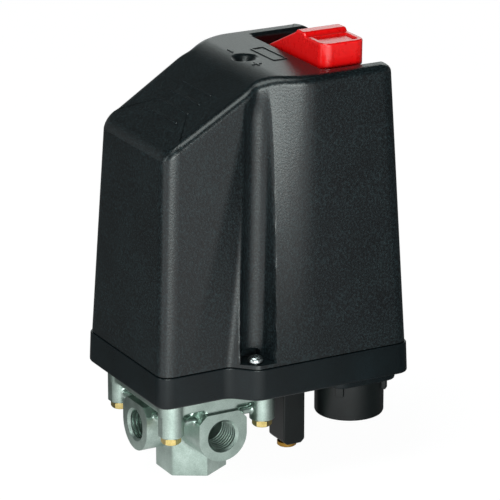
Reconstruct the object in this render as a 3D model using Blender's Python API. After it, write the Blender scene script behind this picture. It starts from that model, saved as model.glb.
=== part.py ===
"""Air-compressor pressure switch, built as separate pieces.

All sizes below are millimetres; finish() turns each piece into metres.
The origin is the centre of the tank port's bottom face, +Z up, +X towards the cable glands.
"""

import math

import bmesh
import bpy
from mathutils import Matrix, Vector

MM = 0.001
GAP = 0.3  # clearance between pieces that touch on the real switch
ROUND_SIDES = 24
SMALL_SIDES = 12

# Levels along Z
TRAY_BOTTOM = 40.0
TRAY_FLOOR = 3.0
SEAM = 53.1  # joint line between the base tray and the hood
HOOD_HEIGHT = 115.0  # seam to plateau

# Hood outline at the seam, front half from the left corner to the right one
HOOD_LEFT = -29.7
HOOD_RIGHT = 77.3
NARROW_HALF = 33.2
WIDE_HALF = 41.9
CREASE_LOW_X = -18.7
JOG_LOW_START_X = -0.2
JOG_LOW_END_X = 8.3
SWELL_LOW_X = 28.5
HOOD_CORNER = 6.0

# How far the outline draws in between the seam and the plateau
END_DRAW = 5.9
NARROW_DRAW = 5.9
CREASE_DRAW = 2.9
WIDE_DRAW = 3.9
CREASE_SHIFT = 32.0
JOG_TOP_X = 15.3
JOG_TOP_DROP = 4.2
JOG_TOP_WIDTH = 1.0
SWELL_TOP_X = 31.3

# Hood shell
HOOD_WALL = 2.5
HOOD_SECTIONS = 6  # levels of the twisted side faces
SLOPE_LOW_X = -25.2  # the sloping front face starts here
SLOPE_LOW_HEIGHT = 88.5  # above the seam
SLOPE_HIGH_X = 18.3
TOP_BEVEL = 3.0

# Base tray
TRAY_PROUD = 0.5
TRAY_FLARE = 0.4
TRAY_WALL = 2.2
PAD_LEFT = 46.0
PAD_RIGHT = 75.3
PAD_HALF = 38.0
PAD_DEPTH = 4.0
PAD_CORNER = 6.0

# Hood screws, which stand in the vertical channels
HOOD_SCREW_X = 9.8
HOOD_SCREW_Y = 36.8
CHANNEL_RADIUS = 6.2
HOOD_FOOT = 1.4
HOOD_SCREW_HEAD = 3.0
HOOD_SCREW_HEAD_HEIGHT = 2.4
HOOD_SCREW_SHANK = 1.5
HOOD_SCREW_LENGTH = 9.0
SCREW_POST = 4.2

# Rocker recess in the top of the hood
RECESS_LEFT = 43.8
RECESS_HALF = 29.5
RECESS_DEPTH = 15.0

# Rocker
ROCKER_SIDE_GAP = 1.0
ROCKER_WIDTH = 19.5
ROCKER_WALL = 2.0
ROCKER_PIVOT_DROP = 3.0  # pivot axis below the plateau
ROCKER_PIN = 1.5
BRACKET_WIDTH = 7.0
BRACKET_HALF = 3.5
BRACKET_FOOT = 6.0
BRACKET_FOOT_HEIGHT = 1.8
BRACKET_RISE = 2.8  # above the pivot axis
ROCKER_PROFILE = (  # (y, z) from the pivot axis, once round, rest pose
    (-27.2, 1.5),
    (26.8, -8.0),
    (27.2, -3.2),
    (12.6, 3.8),
    (-5.0, 12.0),
    (-6.0, 13.2),
    (-11.5, 13.2),
    (-12.8, 11.8),
    (-25.6, 11.8),
    (-27.4, 10.4),
)

# Flange casting with the ports
HEX_FLATS = 25.0
TANK_BORE = 7.5
TANK_BORE_DEPTH = 18.0
PORT_AXIS = 22.0  # above the tank port's face
PORT_RING = 10.65
PORT_BORE = 5.9
PORT_MOUTH = 6.9
PORT_MOUTH_DEPTH = 1.0
PORT_TOP = 9.8  # flat top of the port block above its axis
PORT_CHAMFER = 3.4
SIDE_PORT_REACH = 28.0
END_PORT_REACH = 25.3
PLATE_THICK = 6.3
PLATE_MARGIN = 4.0  # plate edge beyond the bolt axes, less than a boss's radius
BOLT_SPACING_X = 41.0
BOLT_SPACING_Y = 45.0
BOSS_RADIUS = 5.15
BOSS_BOTTOM = 24.5
RIB_THICK = 3.0
RIB_LOW = 27.4
CHAMBER_RADIUS = 17.0
CHAMBER_DEPTH = 2.4
CENTRE_BORE = 4.0

# Flange bolts
BOLT_FLATS = 7.0
BOLT_HEAD = 3.0
BOLT_SHANK = 1.9

# Diaphragm and piston
DIAPHRAGM_RADIUS = 20.2
DIAPHRAGM_THICK = 1.4
PISTON_RADIUS = 13.0
PISTON_DISC = 2.2
PISTON_STEM = 5.0
PISTON_HOLE = 15.0

# Steel chassis
CHASSIS_LEFT = -26.0
CHASSIS_RIGHT = 47.3
CHASSIS_HALF = 26.0
CHASSIS_THICK = 2.0
CHEEK_INNER = 13.0
CHEEK_THICK = 2.0
PIVOT_X = -18.0
PIVOT_EAR = 4.0
PIVOT_ABOVE_CHASSIS = 14.7
PIVOT_PIN = 2.0

# Main lever
LEVER_ABOVE_CHASSIS = 10.0
LEVER_THICK = 2.0
LEVER_HALF = 12.4
LEVER_BEND_X = 48.0
LEVER_END_X = 57.0
LEVER_EAR = 1.6

# Range spring and its adjusting screw
ADJUSTER_X = 24.3
TOWER_HALF = 7.5
TOWER_TOP = 150.0
ADJUSTER_SHANK = 2.7
ADJUSTER_HEAD = 4.5
ADJUSTER_HEAD_HEIGHT = 4.5
ADJUSTER_BOTTOM = 72.0
ADJUSTER_SLOT = 1.2
ADJUSTER_SLOT_DEPTH = 1.6
ACCESS_HOLE = 2.4
ACCESS_DIMPLE = 5.3
ACCESS_DIMPLE_DEPTH = 2.0
NUT_BOTTOM = 112.0
NUT_THICK = 4.0
NUT_HALF_X = 7.0
SPRING_RADIUS = 7.5
SPRING_WIRE = 1.2
SPRING_TURNS = 8

# Contact block
BLOCK_LEFT = 40.0
BLOCK_RIGHT = 68.0
BLOCK_FRONT = -25.0
BLOCK_BACK = 22.0
BLOCK_BOTTOM = 62.0
BLOCK_TOP = 78.0
BLOCK_FOOT_X = 7.0
BLOCK_FOOT_Y = 4.0
PHASES = (-20.0, -7.0, 6.0)
STRIP_HALF = 3.0
STRIP_THICK = 1.2
STRIP_INSET = 1.0
STRIP_LENGTH = 10.0
TERMINAL_INSET = 4.5
TERMINAL_HEAD = 2.9
TERMINAL_HEAD_HEIGHT = 2.2
TERMINAL_SHANK = 1.5
TERMINAL_DEPTH = 7.0

# Contact carrier and bridges
CARRIER_HALF_X = 4.0
CARRIER_FRONT = -24.0
CARRIER_BACK = 20.0
CARRIER_BOTTOM = 88.0
CARRIER_THICK = 4.0
CARRIER_STEM_Y = -13.5
CARRIER_STEM = 2.4
CARRIER_STUB = 1.8
BRIDGE_HALF = 5.4
CONTACT_SPRING_RADIUS = 3.0
CONTACT_SPRING_WIRE = 0.4
CONTACT_SPRING_TURNS = 3

# Off link between the rocker and the contact carrier
LINK_WIDTH = 3.0
LINK_Y = 17.0
LINK_HALF = 2.0
LINK_DROP = 5.5  # its top below the plateau, just under the rocker's ceiling
LINK_FOOT_LEFT = 53.0
LINK_FOOT_GAP = 4.6  # below the carrier: the rocker's lift plus clearance
LINK_FOOT_THICK = 1.4
LINK_SLOT = 1.5

# Unloader valve
UNLOADER_X = 38.9
UNLOADER_Y = -10.0
UNLOADER_WIDTH = 9.7
UNLOADER_LENGTH = 12.9
UNLOADER_BOTTOM = 7.0
UNLOADER_CHAMFER = 1.6
UNLOADER_BORE = 2.2
UNLOADER_BORE_BOTTOM = 28.0
NIPPLE_RADIUS = 4.0
NIPPLE_PROUD = 2.3
NIPPLE_THREAD = 3.0
NIPPLE_THREAD_LENGTH = 9.0
NIPPLE_BORE = 1.5
STEM_RADIUS = 1.5
STEM_BOTTOM = 30.0

# Cable glands, one at the front and one at the back
GLAND_X = 62.0
GLAND_Y = 20.5
GLAND_RADIUS = 14.15
GLAND_BOTTOM = 19.5
GLAND_NECK = 10.0
GLAND_NECK_TOP = 48.0
GLAND_BORE = 8.0
GLAND_POCKET = 11.5
GLAND_POCKET_DEPTH = 8.5
GLAND_SEAL_BORE = 6.0
GLAND_SEAL_HEIGHT = 5.4
GLAND_RETAINER_BORE = 7.0
GLAND_RETAINER_HEIGHT = 1.8
LUG_WIDTH = 3.3
LUG_HEIGHT = 5.5
LUG_PROUD = 1.5
LOCKNUT_RADIUS = 12.8
LOCKNUT_HEIGHT = 4.0

# Earth screw
EARTH_X = -8.0
EARTH_Y = 20.0
EARTH_HEAD = 3.4
EARTH_HEAD_HEIGHT = 2.4
EARTH_SHANK = 1.6

# Levels worked out from the sizes above
PLATEAU = SEAM + HOOD_HEIGHT
HOOD_BOTTOM = SEAM + GAP / 2
TRAY_TOP = SEAM - GAP / 2
FLOOR_TOP = TRAY_BOTTOM + TRAY_FLOOR
RECESS_FLOOR = PLATEAU - RECESS_DEPTH
ROCKER_PIVOT_Z = PLATEAU - ROCKER_PIVOT_DROP
ROCKER_LEFT = RECESS_LEFT + ROCKER_SIDE_GAP
LINK_LEFT = ROCKER_LEFT + ROCKER_WIDTH - ROCKER_WALL - GAP - LINK_WIDTH
LINK_TOP = PLATEAU - LINK_DROP
PLATE_TOP = TRAY_BOTTOM - GAP
PLATE_BOTTOM = PLATE_TOP - PLATE_THICK
DIAPHRAGM_BOTTOM = PLATE_TOP - GAP / 2 - DIAPHRAGM_THICK
CHASSIS_BOTTOM = FLOOR_TOP + GAP
CHASSIS_TOP = CHASSIS_BOTTOM + CHASSIS_THICK
PIVOT_Z = CHASSIS_TOP + PIVOT_ABOVE_CHASSIS
LEVER_BOTTOM = CHASSIS_TOP + LEVER_ABOVE_CHASSIS
LEVER_TOP = LEVER_BOTTOM + LEVER_THICK
PAD_BOTTOM = TRAY_BOTTOM - PAD_DEPTH
CHEEK_OUTER = CHEEK_INNER + CHEEK_THICK
STRIP_BOTTOM = BLOCK_TOP + GAP
STRIP_TOP = STRIP_BOTTOM + STRIP_THICK
BRIDGE_BOTTOM = STRIP_TOP + GAP
BRIDGE_TOP = BRIDGE_BOTTOM + STRIP_THICK
CARRIER_X = (BLOCK_LEFT + BLOCK_RIGHT) / 2
BOLT_PLACES = [
    (side_x * BOLT_SPACING_X / 2, side_y * BOLT_SPACING_Y / 2)
    for side_x in (-1, 1)
    for side_y in (-1, 1)
]

AXIS_ORDER = {  # two coordinates across an axis and one along it, put in X, Y, Z order
    "X": lambda u, v, w: (w, u, v),
    "Y": lambda u, v, w: (u, w, v),
    "Z": lambda u, v, w: (u, v, w),
}

FINISHES = {  # base colour, roughness, metallic
    "black_plastic": ((0.020, 0.024, 0.026), 0.45, 0.0),
    "tray_plastic": ((0.022, 0.027, 0.029), 0.40, 0.0),
    "red_plastic": ((0.80, 0.012, 0.010), 0.25, 0.0),
    "grey_plastic": ((0.30, 0.31, 0.30), 0.50, 0.0),
    "cast_aluminium": ((0.62, 0.65, 0.63), 0.42, 1.0),
    "yellow_zinc": ((0.72, 0.58, 0.25), 0.35, 1.0),
    "bright_zinc": ((0.70, 0.71, 0.72), 0.30, 1.0),
    "brass": ((0.78, 0.57, 0.20), 0.30, 1.0),
    "copper": ((0.80, 0.42, 0.26), 0.35, 1.0),
    "rubber": ((0.018, 0.018, 0.018), 0.85, 0.0),
    "spring_steel": ((0.45, 0.45, 0.46), 0.35, 1.0),
}


def clear_scene():
    """Remove every object that the scene starts with."""
    for thing in list(bpy.data.objects):
        bpy.data.objects.remove(thing, do_unlink=True)


def material(finish):
    """The material of one finish, made the first time it is asked for."""
    found = bpy.data.materials.get(finish)
    if found:
        return found
    colour, roughness, metallic = FINISHES[finish]
    made = bpy.data.materials.new(finish)
    made.use_nodes = True
    shader = made.node_tree.nodes["Principled BSDF"]
    shader.inputs["Base Color"].default_value = (*colour, 1.0)
    shader.inputs["Roughness"].default_value = roughness
    shader.inputs["Metallic"].default_value = metallic
    return made


def body_of(mesh_data):
    """Wrap a bmesh into an object of its own."""
    bmesh.ops.recalc_face_normals(mesh_data, faces=mesh_data.faces)
    mesh = bpy.data.meshes.new("piece")
    mesh_data.to_mesh(mesh)
    mesh_data.free()
    body = bpy.data.objects.new("piece", mesh)
    bpy.context.scene.collection.objects.link(body)
    return body


def evaluated(body):
    """Replace the body's data with what its modifiers or its curve settings make of it."""
    bpy.context.view_layer.update()
    graph = bpy.context.evaluated_depsgraph_get()
    return bpy.data.meshes.new_from_object(body.evaluated_get(graph))


def combine(body, tool, operation):
    """Apply one Boolean to the body and remove the tool."""
    modifier = body.modifiers.new(operation.lower(), "BOOLEAN")
    modifier.object = tool
    modifier.operation = operation
    mesh = evaluated(body)
    body.modifiers.clear()
    body.data = mesh
    bpy.data.objects.remove(tool, do_unlink=True)
    return body


def join(body, *others):
    """Union of the body and the others."""
    for other in others:
        combine(body, other, "UNION")
    return body


def cut(body, *tools):
    """The body less each tool."""
    for tool in tools:
        combine(body, tool, "DIFFERENCE")
    return body


def finish(name, body, look, origin=(0.0, 0.0, 0.0)):
    """Name the piece, put its origin in place, turn it into metres and give it its material."""
    to_origin = Matrix.Translation(-Vector(origin))
    body.data.transform(Matrix.Scale(MM, 4) @ to_origin)
    body.location = Vector(origin) * MM
    body.name = name
    body.data.name = name
    body.data.materials.clear()
    body.data.materials.append(material(look))
    body.data.shade_smooth()
    body.data.set_sharp_from_angle(angle=math.radians(30))
    return body


def box(low, high):
    """A block between two opposite corners."""
    low = Vector(low)
    high = Vector(high)
    mesh_data = bmesh.new()
    size = Matrix.Diagonal((*(high - low), 1.0))
    bmesh.ops.create_cube(mesh_data, size=1.0, matrix=Matrix.Translation((low + high) / 2) @ size)
    return body_of(mesh_data)


def turned(rings, centre, axis="Z", sides=ROUND_SIDES):
    """A closed round body through (radius, place) rings along an axis; centre is the other two."""
    angles = [math.tau * step / sides for step in range(sides)]
    mesh_data = bmesh.new()
    loops = []
    for radius, place in rings:
        loop = []
        for angle in angles:
            u = centre[0] + radius * math.cos(angle)
            v = centre[1] + radius * math.sin(angle)
            loop.append(mesh_data.verts.new(AXIS_ORDER[axis](u, v, place)))
        loops.append(loop)
    for before, after in zip(loops, loops[1:]):
        for index in range(sides):
            mesh_data.faces.new((before[index - 1], before[index], after[index], after[index - 1]))
    mesh_data.faces.new(loops[0])
    mesh_data.faces.new(loops[-1])
    return body_of(mesh_data)


def cylinder(radius, centre, low, high, axis="Z", sides=ROUND_SIDES, top_radius=None):
    """A cylinder or cone from low to high along an axis."""
    end = radius if top_radius is None else top_radius
    return turned([(radius, low), (end, high)], centre, axis, sides)


def prism(outline, low, high, axis="Z"):
    """An outline extruded along an axis; its points are the other two coordinates in X, Y, Z order."""
    place = AXIS_ORDER[axis]
    mesh_data = bmesh.new()
    base = mesh_data.faces.new([mesh_data.verts.new(place(u, v, low)) for u, v in outline])
    grown = bmesh.ops.extrude_face_region(mesh_data, geom=[base])
    moved = [item for item in grown["geom"] if isinstance(item, bmesh.types.BMVert)]
    bmesh.ops.translate(mesh_data, verts=moved, vec=place(0.0, 0.0, high - low))
    return body_of(mesh_data)


def loft_mesh(sections):
    """A closed bmesh through (outline, level) sections with the same number of points each."""
    mesh_data = bmesh.new()
    rings = [[mesh_data.verts.new((x, y, level)) for x, y in outline] for outline, level in sections]
    mesh_data.faces.new(rings[0][::-1])
    mesh_data.faces.new(rings[-1])
    for below, above in zip(rings, rings[1:]):
        for index, corner in enumerate(below):
            mesh_data.faces.new((below[index - 1], corner, above[index], above[index - 1]))
    return mesh_data


def coil(radius, wire, turns, low, high, centre, steps_per_turn, wire_resolution):
    """A coil spring between two levels, as a bevelled curve with filled ends."""
    curve = bpy.data.curves.new("coil", "CURVE")
    curve.dimensions = "3D"
    curve.bevel_depth = wire
    curve.bevel_resolution = wire_resolution
    curve.use_fill_caps = True
    line = curve.splines.new("POLY")
    steps = turns * steps_per_turn
    line.points.add(steps)
    rise = (high - low - 2 * wire) / steps
    for step, point in enumerate(line.points):
        angle = math.tau * step / steps_per_turn
        x = centre[0] + radius * math.cos(angle)
        y = centre[1] + radius * math.sin(angle)
        point.co = (x, y, low + wire + rise * step, 1.0)
    guide = bpy.data.objects.new("coil", curve)
    bpy.context.scene.collection.objects.link(guide)
    body = bpy.data.objects.new("piece", evaluated(guide))
    bpy.context.scene.collection.objects.link(body)
    bpy.data.objects.remove(guide, do_unlink=True)
    return body


def rounded(corners, steps=4):
    """The outline through (x, y, setback) corners, each rounded from one setback to the other."""
    points = []
    for index, (x, y, setback) in enumerate(corners):
        corner = Vector((x, y))
        if setback == 0.0:
            points.append(tuple(corner))
            continue
        before = Vector(corners[index - 1][:2])
        after = Vector(corners[(index + 1) % len(corners)][:2])
        start = corner + (before - corner).normalized() * setback
        end = corner + (after - corner).normalized() * setback
        for step in range(steps + 1):
            share = step / steps
            bend = start.lerp(corner, share).lerp(corner.lerp(end, share), share)
            points.append(tuple(bend))
    return points


def offset(corners, distance):
    """The corners of the outline moved outwards, or inwards when distance is negative."""
    moved = []
    for index, (x, y, setback) in enumerate(corners):
        corner = Vector((x, y))
        along = (corner - Vector(corners[index - 1][:2])).normalized()
        onward = (Vector(corners[(index + 1) % len(corners)][:2]) - corner).normalized()
        out = Vector((along.y, -along.x)) + Vector((onward.y, -onward.x))
        step = out * (2 * distance / out.length_squared)
        moved.append((x + step.x, y + step.y, setback))
    return moved


def rounded_rectangle(left, right, half, corner):
    """An outline about the X axis with four rounded corners."""
    return rounded(
        [
            (left, -half, corner),
            (right, -half, corner),
            (right, half, corner),
            (left, half, corner),
        ]
    )


def hood_corners(share):
    """The hood's corners at a share of the way from the seam (0) to the plateau (1)."""
    narrow_top = NARROW_HALF - JOG_TOP_DROP
    low = [
        (HOOD_LEFT, NARROW_HALF),
        (CREASE_LOW_X, NARROW_HALF),
        (JOG_LOW_START_X, NARROW_HALF),
        (JOG_LOW_END_X, WIDE_HALF),
        (SWELL_LOW_X, WIDE_HALF),
        (HOOD_RIGHT, WIDE_HALF),
    ]
    high = [
        (HOOD_LEFT + END_DRAW, NARROW_HALF - NARROW_DRAW),
        (CREASE_LOW_X + CREASE_SHIFT, NARROW_HALF - CREASE_DRAW),
        (JOG_TOP_X, narrow_top),
        (JOG_TOP_X + JOG_TOP_WIDTH, narrow_top + GAP),
        (SWELL_TOP_X, WIDE_HALF - WIDE_DRAW),
        (HOOD_RIGHT - END_DRAW, WIDE_HALF - WIDE_DRAW),
    ]
    setbacks = [HOOD_CORNER, 0.0, 0.0, 0.0, HOOD_CORNER, HOOD_CORNER]
    front = []
    for (low_x, low_y), (high_x, high_y), setback in zip(low, high, setbacks):
        x = low_x + (high_x - low_x) * share
        y = low_y + (high_y - low_y) * share
        front.append((x, -y, setback))
    back = [(x, -y, setback) for x, y, setback in reversed(front)]
    return front + back


def sloped_body(inset, bottom, bevel):
    """The hood's outer form (inset 0) or its cavity, from the bottom level to the top."""
    sections = []
    for step in range(HOOD_SECTIONS + 1):
        share = step / HOOD_SECTIONS
        outline = rounded(offset(hood_corners(share), -inset))
        sections.append((outline, bottom + (PLATEAU - inset - bottom) * share))
    mesh_data = loft_mesh(sections)
    run = SLOPE_HIGH_X - SLOPE_LOW_X
    rise = HOOD_HEIGHT - SLOPE_LOW_HEIGHT
    normal = Vector((-rise, 0.0, run)).normalized()
    place = Vector((SLOPE_HIGH_X, 0.0, PLATEAU)) - normal * inset
    everything = mesh_data.verts[:] + mesh_data.edges[:] + mesh_data.faces[:]
    sliced = bmesh.ops.bisect_plane(
        mesh_data, geom=everything, plane_co=place, plane_no=normal, clear_outer=True
    )
    rim = [item for item in sliced["geom_cut"] if isinstance(item, bmesh.types.BMEdge)]
    bmesh.ops.edgeloop_fill(mesh_data, edges=rim)
    bmesh.ops.recalc_face_normals(mesh_data, faces=mesh_data.faces)
    if bevel:
        facing_up = {face for face in mesh_data.faces if face.normal.z > 0.5}
        edges = [e for e in mesh_data.edges if facing_up.intersection(e.link_faces)]
        bmesh.ops.bevel(
            mesh_data,
            geom=edges,
            offset=bevel,
            segments=2,
            profile=0.5,
            affect="EDGES",
            material=-1,
        )
    return body_of(mesh_data)


def make_hood():
    """Hollow hood with the rocker recess, the two screw channels and the adjusting hole."""
    hood = sloped_body(0.0, HOOD_BOTTOM, TOP_BEVEL)
    cavity = sloped_body(HOOD_WALL, HOOD_BOTTOM - 1.0, 0.0)
    recess_low = (RECESS_LEFT - HOOD_WALL, -RECESS_HALF - HOOD_WALL, RECESS_FLOOR - HOOD_WALL)
    above = PLATEAU + HOOD_WALL
    beyond = HOOD_RIGHT + HOOD_WALL
    cut(cavity, box(recess_low, (beyond, RECESS_HALF + HOOD_WALL, above)))
    for side in (-1, 1):
        centre = (HOOD_SCREW_X, side * HOOD_SCREW_Y)
        cut(cavity, cylinder(CHANNEL_RADIUS + HOOD_WALL, centre, TRAY_BOTTOM, above))
    cut(hood, cavity)
    cut(hood, box((RECESS_LEFT, -RECESS_HALF, RECESS_FLOOR), (beyond, RECESS_HALF, above)))
    for side in (-1, 1):
        centre = (HOOD_SCREW_X, side * HOOD_SCREW_Y)
        cut(hood, cylinder(CHANNEL_RADIUS, centre, HOOD_BOTTOM + HOOD_FOOT, above))
        hole = HOOD_SCREW_SHANK + GAP
        cut(hood, cylinder(hole, centre, TRAY_BOTTOM, above, sides=SMALL_SIDES))
    adjuster = (ADJUSTER_X, 0.0)
    cut(hood, cylinder(ACCESS_HOLE, adjuster, TOWER_TOP, above, sides=SMALL_SIDES))
    dimple = PLATEAU - ACCESS_DIMPLE_DEPTH
    cone_growth = (ACCESS_DIMPLE - ACCESS_HOLE) / ACCESS_DIMPLE_DEPTH
    mouth = ACCESS_DIMPLE + cone_growth * GAP
    cut(hood, cylinder(ACCESS_HOLE, adjuster, dimple, PLATEAU + GAP, top_radius=mouth))
    slot_x = (LINK_LEFT - LINK_SLOT, LINK_LEFT + LINK_WIDTH + LINK_SLOT)
    slot_y = (LINK_Y - LINK_HALF - LINK_SLOT, LINK_Y + LINK_HALF + LINK_SLOT)
    below = RECESS_FLOOR - HOOD_WALL - 1.0
    cut(hood, box((slot_x[0], slot_y[0], below), (slot_x[1], slot_y[1], RECESS_FLOOR + 1.0)))
    finish("hood", hood, "black_plastic")


def make_tray():
    """Base tray: floor, skirt, gland pad, hood screw posts and every hole through the floor."""
    corners = hood_corners(0.0)
    low = rounded(offset(corners, TRAY_PROUD + TRAY_FLARE))
    high = rounded(offset(corners, TRAY_PROUD))
    tray = body_of(loft_mesh([(low, TRAY_BOTTOM), (high, TRAY_TOP)]))
    inside = rounded(offset(corners, -TRAY_WALL))
    cut(tray, prism(inside, FLOOR_TOP, TRAY_TOP + 1.0))
    pad = rounded_rectangle(PAD_LEFT, PAD_RIGHT, PAD_HALF, PAD_CORNER)
    join(tray, prism(pad, PAD_BOTTOM, FLOOR_TOP - GAP))
    for side in (-1, 1):
        centre = (HOOD_SCREW_X, side * HOOD_SCREW_Y)
        join(tray, cylinder(SCREW_POST, centre, FLOOR_TOP - GAP, TRAY_TOP))
        hole = HOOD_SCREW_SHANK + GAP
        blind = TRAY_TOP - HOOD_SCREW_LENGTH
        cut(tray, cylinder(hole, centre, blind, TRAY_TOP + 1.0, sides=SMALL_SIDES))
        gland = (GLAND_X, side * GLAND_Y)
        cut(tray, cylinder(GLAND_NECK + GAP, gland, PAD_BOTTOM - 1.0, FLOOR_TOP + 1.0))
    below = TRAY_BOTTOM - 1.0
    above = FLOOR_TOP + 1.0
    for place in BOLT_PLACES:
        cut(tray, cylinder(BOLT_SHANK + GAP, place, below, above, sides=SMALL_SIDES))
    cut(tray, cylinder(PISTON_HOLE, (0.0, 0.0), below, above))
    stem = (UNLOADER_X, UNLOADER_Y)
    cut(tray, cylinder(UNLOADER_BORE, stem, below, above, sides=SMALL_SIDES))
    finish("base_tray", tray, "tray_plastic")


def hexagon(flats):
    """A hexagon with two of its flats facing +X and -X."""
    radius = flats / math.sqrt(3)
    angles = [math.radians(30 + 60 * step) for step in range(6)]
    return [(radius * math.cos(a), radius * math.sin(a)) for a in angles]


def port_outline():
    """End view of a port block: round below, straight sides, flat top with two chamfers."""
    steps = 12
    arc = []
    for step in range(steps + 1):
        angle = math.pi + math.pi * step / steps
        arc.append((PORT_RING * math.cos(angle), PORT_AXIS + PORT_RING * math.sin(angle)))
    top = PORT_AXIS + PORT_TOP
    shoulder = top - PORT_CHAMFER
    inner = PORT_RING - PORT_CHAMFER
    return arc + [(PORT_RING, shoulder), (inner, top), (-inner, top), (-PORT_RING, shoulder)]


def port_end(face, sign):
    """(radius, place) of the two rings that countersink a port's mouth, outer ring first."""
    slope = (PORT_MOUTH - PORT_BORE) / PORT_MOUTH_DEPTH
    outer = (PORT_MOUTH + slope * GAP, face + sign * GAP)
    return [outer, (PORT_BORE, face - sign * PORT_MOUTH_DEPTH)]


def make_flange():
    """Die-cast flange: hexagon with the tank port, three side ports, four bosses and the plate."""
    flange = prism(hexagon(HEX_FLATS), 0.0, PLATE_BOTTOM + GAP)
    join(flange, prism(port_outline(), -SIDE_PORT_REACH, SIDE_PORT_REACH, axis="Y"))
    join(flange, prism(port_outline(), -END_PORT_REACH, CENTRE_BORE, axis="X"))
    plate_end = BOLT_SPACING_X / 2 + PLATE_MARGIN
    plate_half = BOLT_SPACING_Y / 2 + PLATE_MARGIN
    plate = rounded_rectangle(-plate_end, plate_end, plate_half, PLATE_MARGIN)
    join(flange, prism(plate, PLATE_BOTTOM, PLATE_TOP))
    for x, y in BOLT_PLACES:
        join(flange, cylinder(BOSS_RADIUS, (x, y), BOSS_BOTTOM, PLATE_TOP - GAP))
        rib_x = sorted((x, math.copysign(PORT_RING - GAP, x)))
        rib_y = (y - RIB_THICK / 2, y + RIB_THICK / 2)
        rib = box((rib_x[0], rib_y[0], RIB_LOW), (rib_x[1], rib_y[1], RIB_LOW + RIB_THICK))
        join(flange, rib)
    for side in (-1, 1):
        rib_y = sorted((side * BOLT_SPACING_Y / 2, side * (PORT_RING - GAP)))
        rib_x = -BOLT_SPACING_X / 2
        low = (rib_x - RIB_THICK / 2, rib_y[0], RIB_LOW)
        high = (rib_x + RIB_THICK / 2, rib_y[1], RIB_LOW + RIB_THICK)
        join(flange, box(low, high))
    cut(flange, cylinder(TANK_BORE, (0.0, 0.0), -1.0, TANK_BORE_DEPTH))
    front = port_end(-SIDE_PORT_REACH, -1)
    back = port_end(SIDE_PORT_REACH, 1)
    cut(flange, turned(front + back[::-1], (0.0, PORT_AXIS), axis="Y"))
    end = port_end(-END_PORT_REACH, -1)
    cut(flange, turned(end + [(PORT_BORE, CENTRE_BORE)], (0.0, PORT_AXIS), axis="X"))
    chamber_floor = DIAPHRAGM_BOTTOM - GAP - CHAMBER_DEPTH
    above = PLATE_TOP + 1.0
    cut(flange, cylinder(CENTRE_BORE, (0.0, 0.0), PORT_AXIS, above, sides=SMALL_SIDES))
    cut(flange, cylinder(CHAMBER_RADIUS, (0.0, 0.0), chamber_floor, above))
    cut(flange, cylinder(DIAPHRAGM_RADIUS + GAP, (0.0, 0.0), DIAPHRAGM_BOTTOM - GAP, above))
    for place in BOLT_PLACES:
        hole = BOLT_SHANK + GAP
        cut(flange, cylinder(hole, place, BOSS_BOTTOM - 1.0, above, sides=SMALL_SIDES))
    finish("flange_casting", flange, "cast_aluminium")


def make_flange_bolts():
    """Four hexagon bolts that hold the flange, the tray and the chassis together."""
    head_top = BOSS_BOTTOM - GAP
    for number, (x, y) in enumerate(BOLT_PLACES, 1):
        outline = [(x + u, y + v) for u, v in hexagon(BOLT_FLATS)]
        bolt = prism(outline, head_top - BOLT_HEAD, head_top)
        shank_top = CHASSIS_TOP - GAP
        shank = cylinder(BOLT_SHANK, (x, y), head_top - GAP, shank_top, sides=SMALL_SIDES)
        join(bolt, shank)
        finish(f"flange_bolt_{number}", bolt, "yellow_zinc", (x, y, head_top))


def make_hood_screws():
    """Two pan-head screws with a cross recess, standing on the hood's foot in the channels."""
    seat = HOOD_BOTTOM + HOOD_FOOT + GAP
    top = seat + HOOD_SCREW_HEAD_HEIGHT
    arm = HOOD_SCREW_HEAD * 0.55
    slot = HOOD_SCREW_HEAD * 0.13
    for side, label in ((-1, "front"), (1, "back")):
        x, y = HOOD_SCREW_X, side * HOOD_SCREW_Y
        dome = HOOD_SCREW_HEAD * 0.8
        screw = cylinder(HOOD_SCREW_HEAD, (x, y), seat, top, sides=20, top_radius=dome)
        bottom = TRAY_TOP - HOOD_SCREW_LENGTH + GAP
        shank = cylinder(HOOD_SCREW_SHANK, (x, y), bottom, seat + GAP, sides=SMALL_SIDES)
        join(screw, shank)
        depth = top - HOOD_SCREW_HEAD_HEIGHT / 2
        cut(screw, box((x - arm, y - slot, depth), (x + arm, y + slot, top + 1.0)))
        cut(screw, box((x - slot, y - arm, depth), (x + slot, y + arm, top + 1.0)))
        finish(f"hood_screw_{label}", screw, "bright_zinc", (x, y, seat))


def make_diaphragm():
    """Rubber disc that closes the pressure chamber."""
    top = DIAPHRAGM_BOTTOM + DIAPHRAGM_THICK
    disc = cylinder(DIAPHRAGM_RADIUS, (0.0, 0.0), DIAPHRAGM_BOTTOM, top)
    finish("diaphragm", disc, "rubber")


def make_piston():
    """Disc and stem that carry the diaphragm's push up to the lever."""
    bottom = DIAPHRAGM_BOTTOM + DIAPHRAGM_THICK + GAP
    disc = cylinder(PISTON_RADIUS, (0.0, 0.0), bottom, bottom + PISTON_DISC)
    stem = cylinder(PISTON_STEM, (0.0, 0.0), bottom + GAP, LEVER_BOTTOM - GAP)
    finish("diaphragm_piston", join(disc, stem), "grey_plastic")


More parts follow.
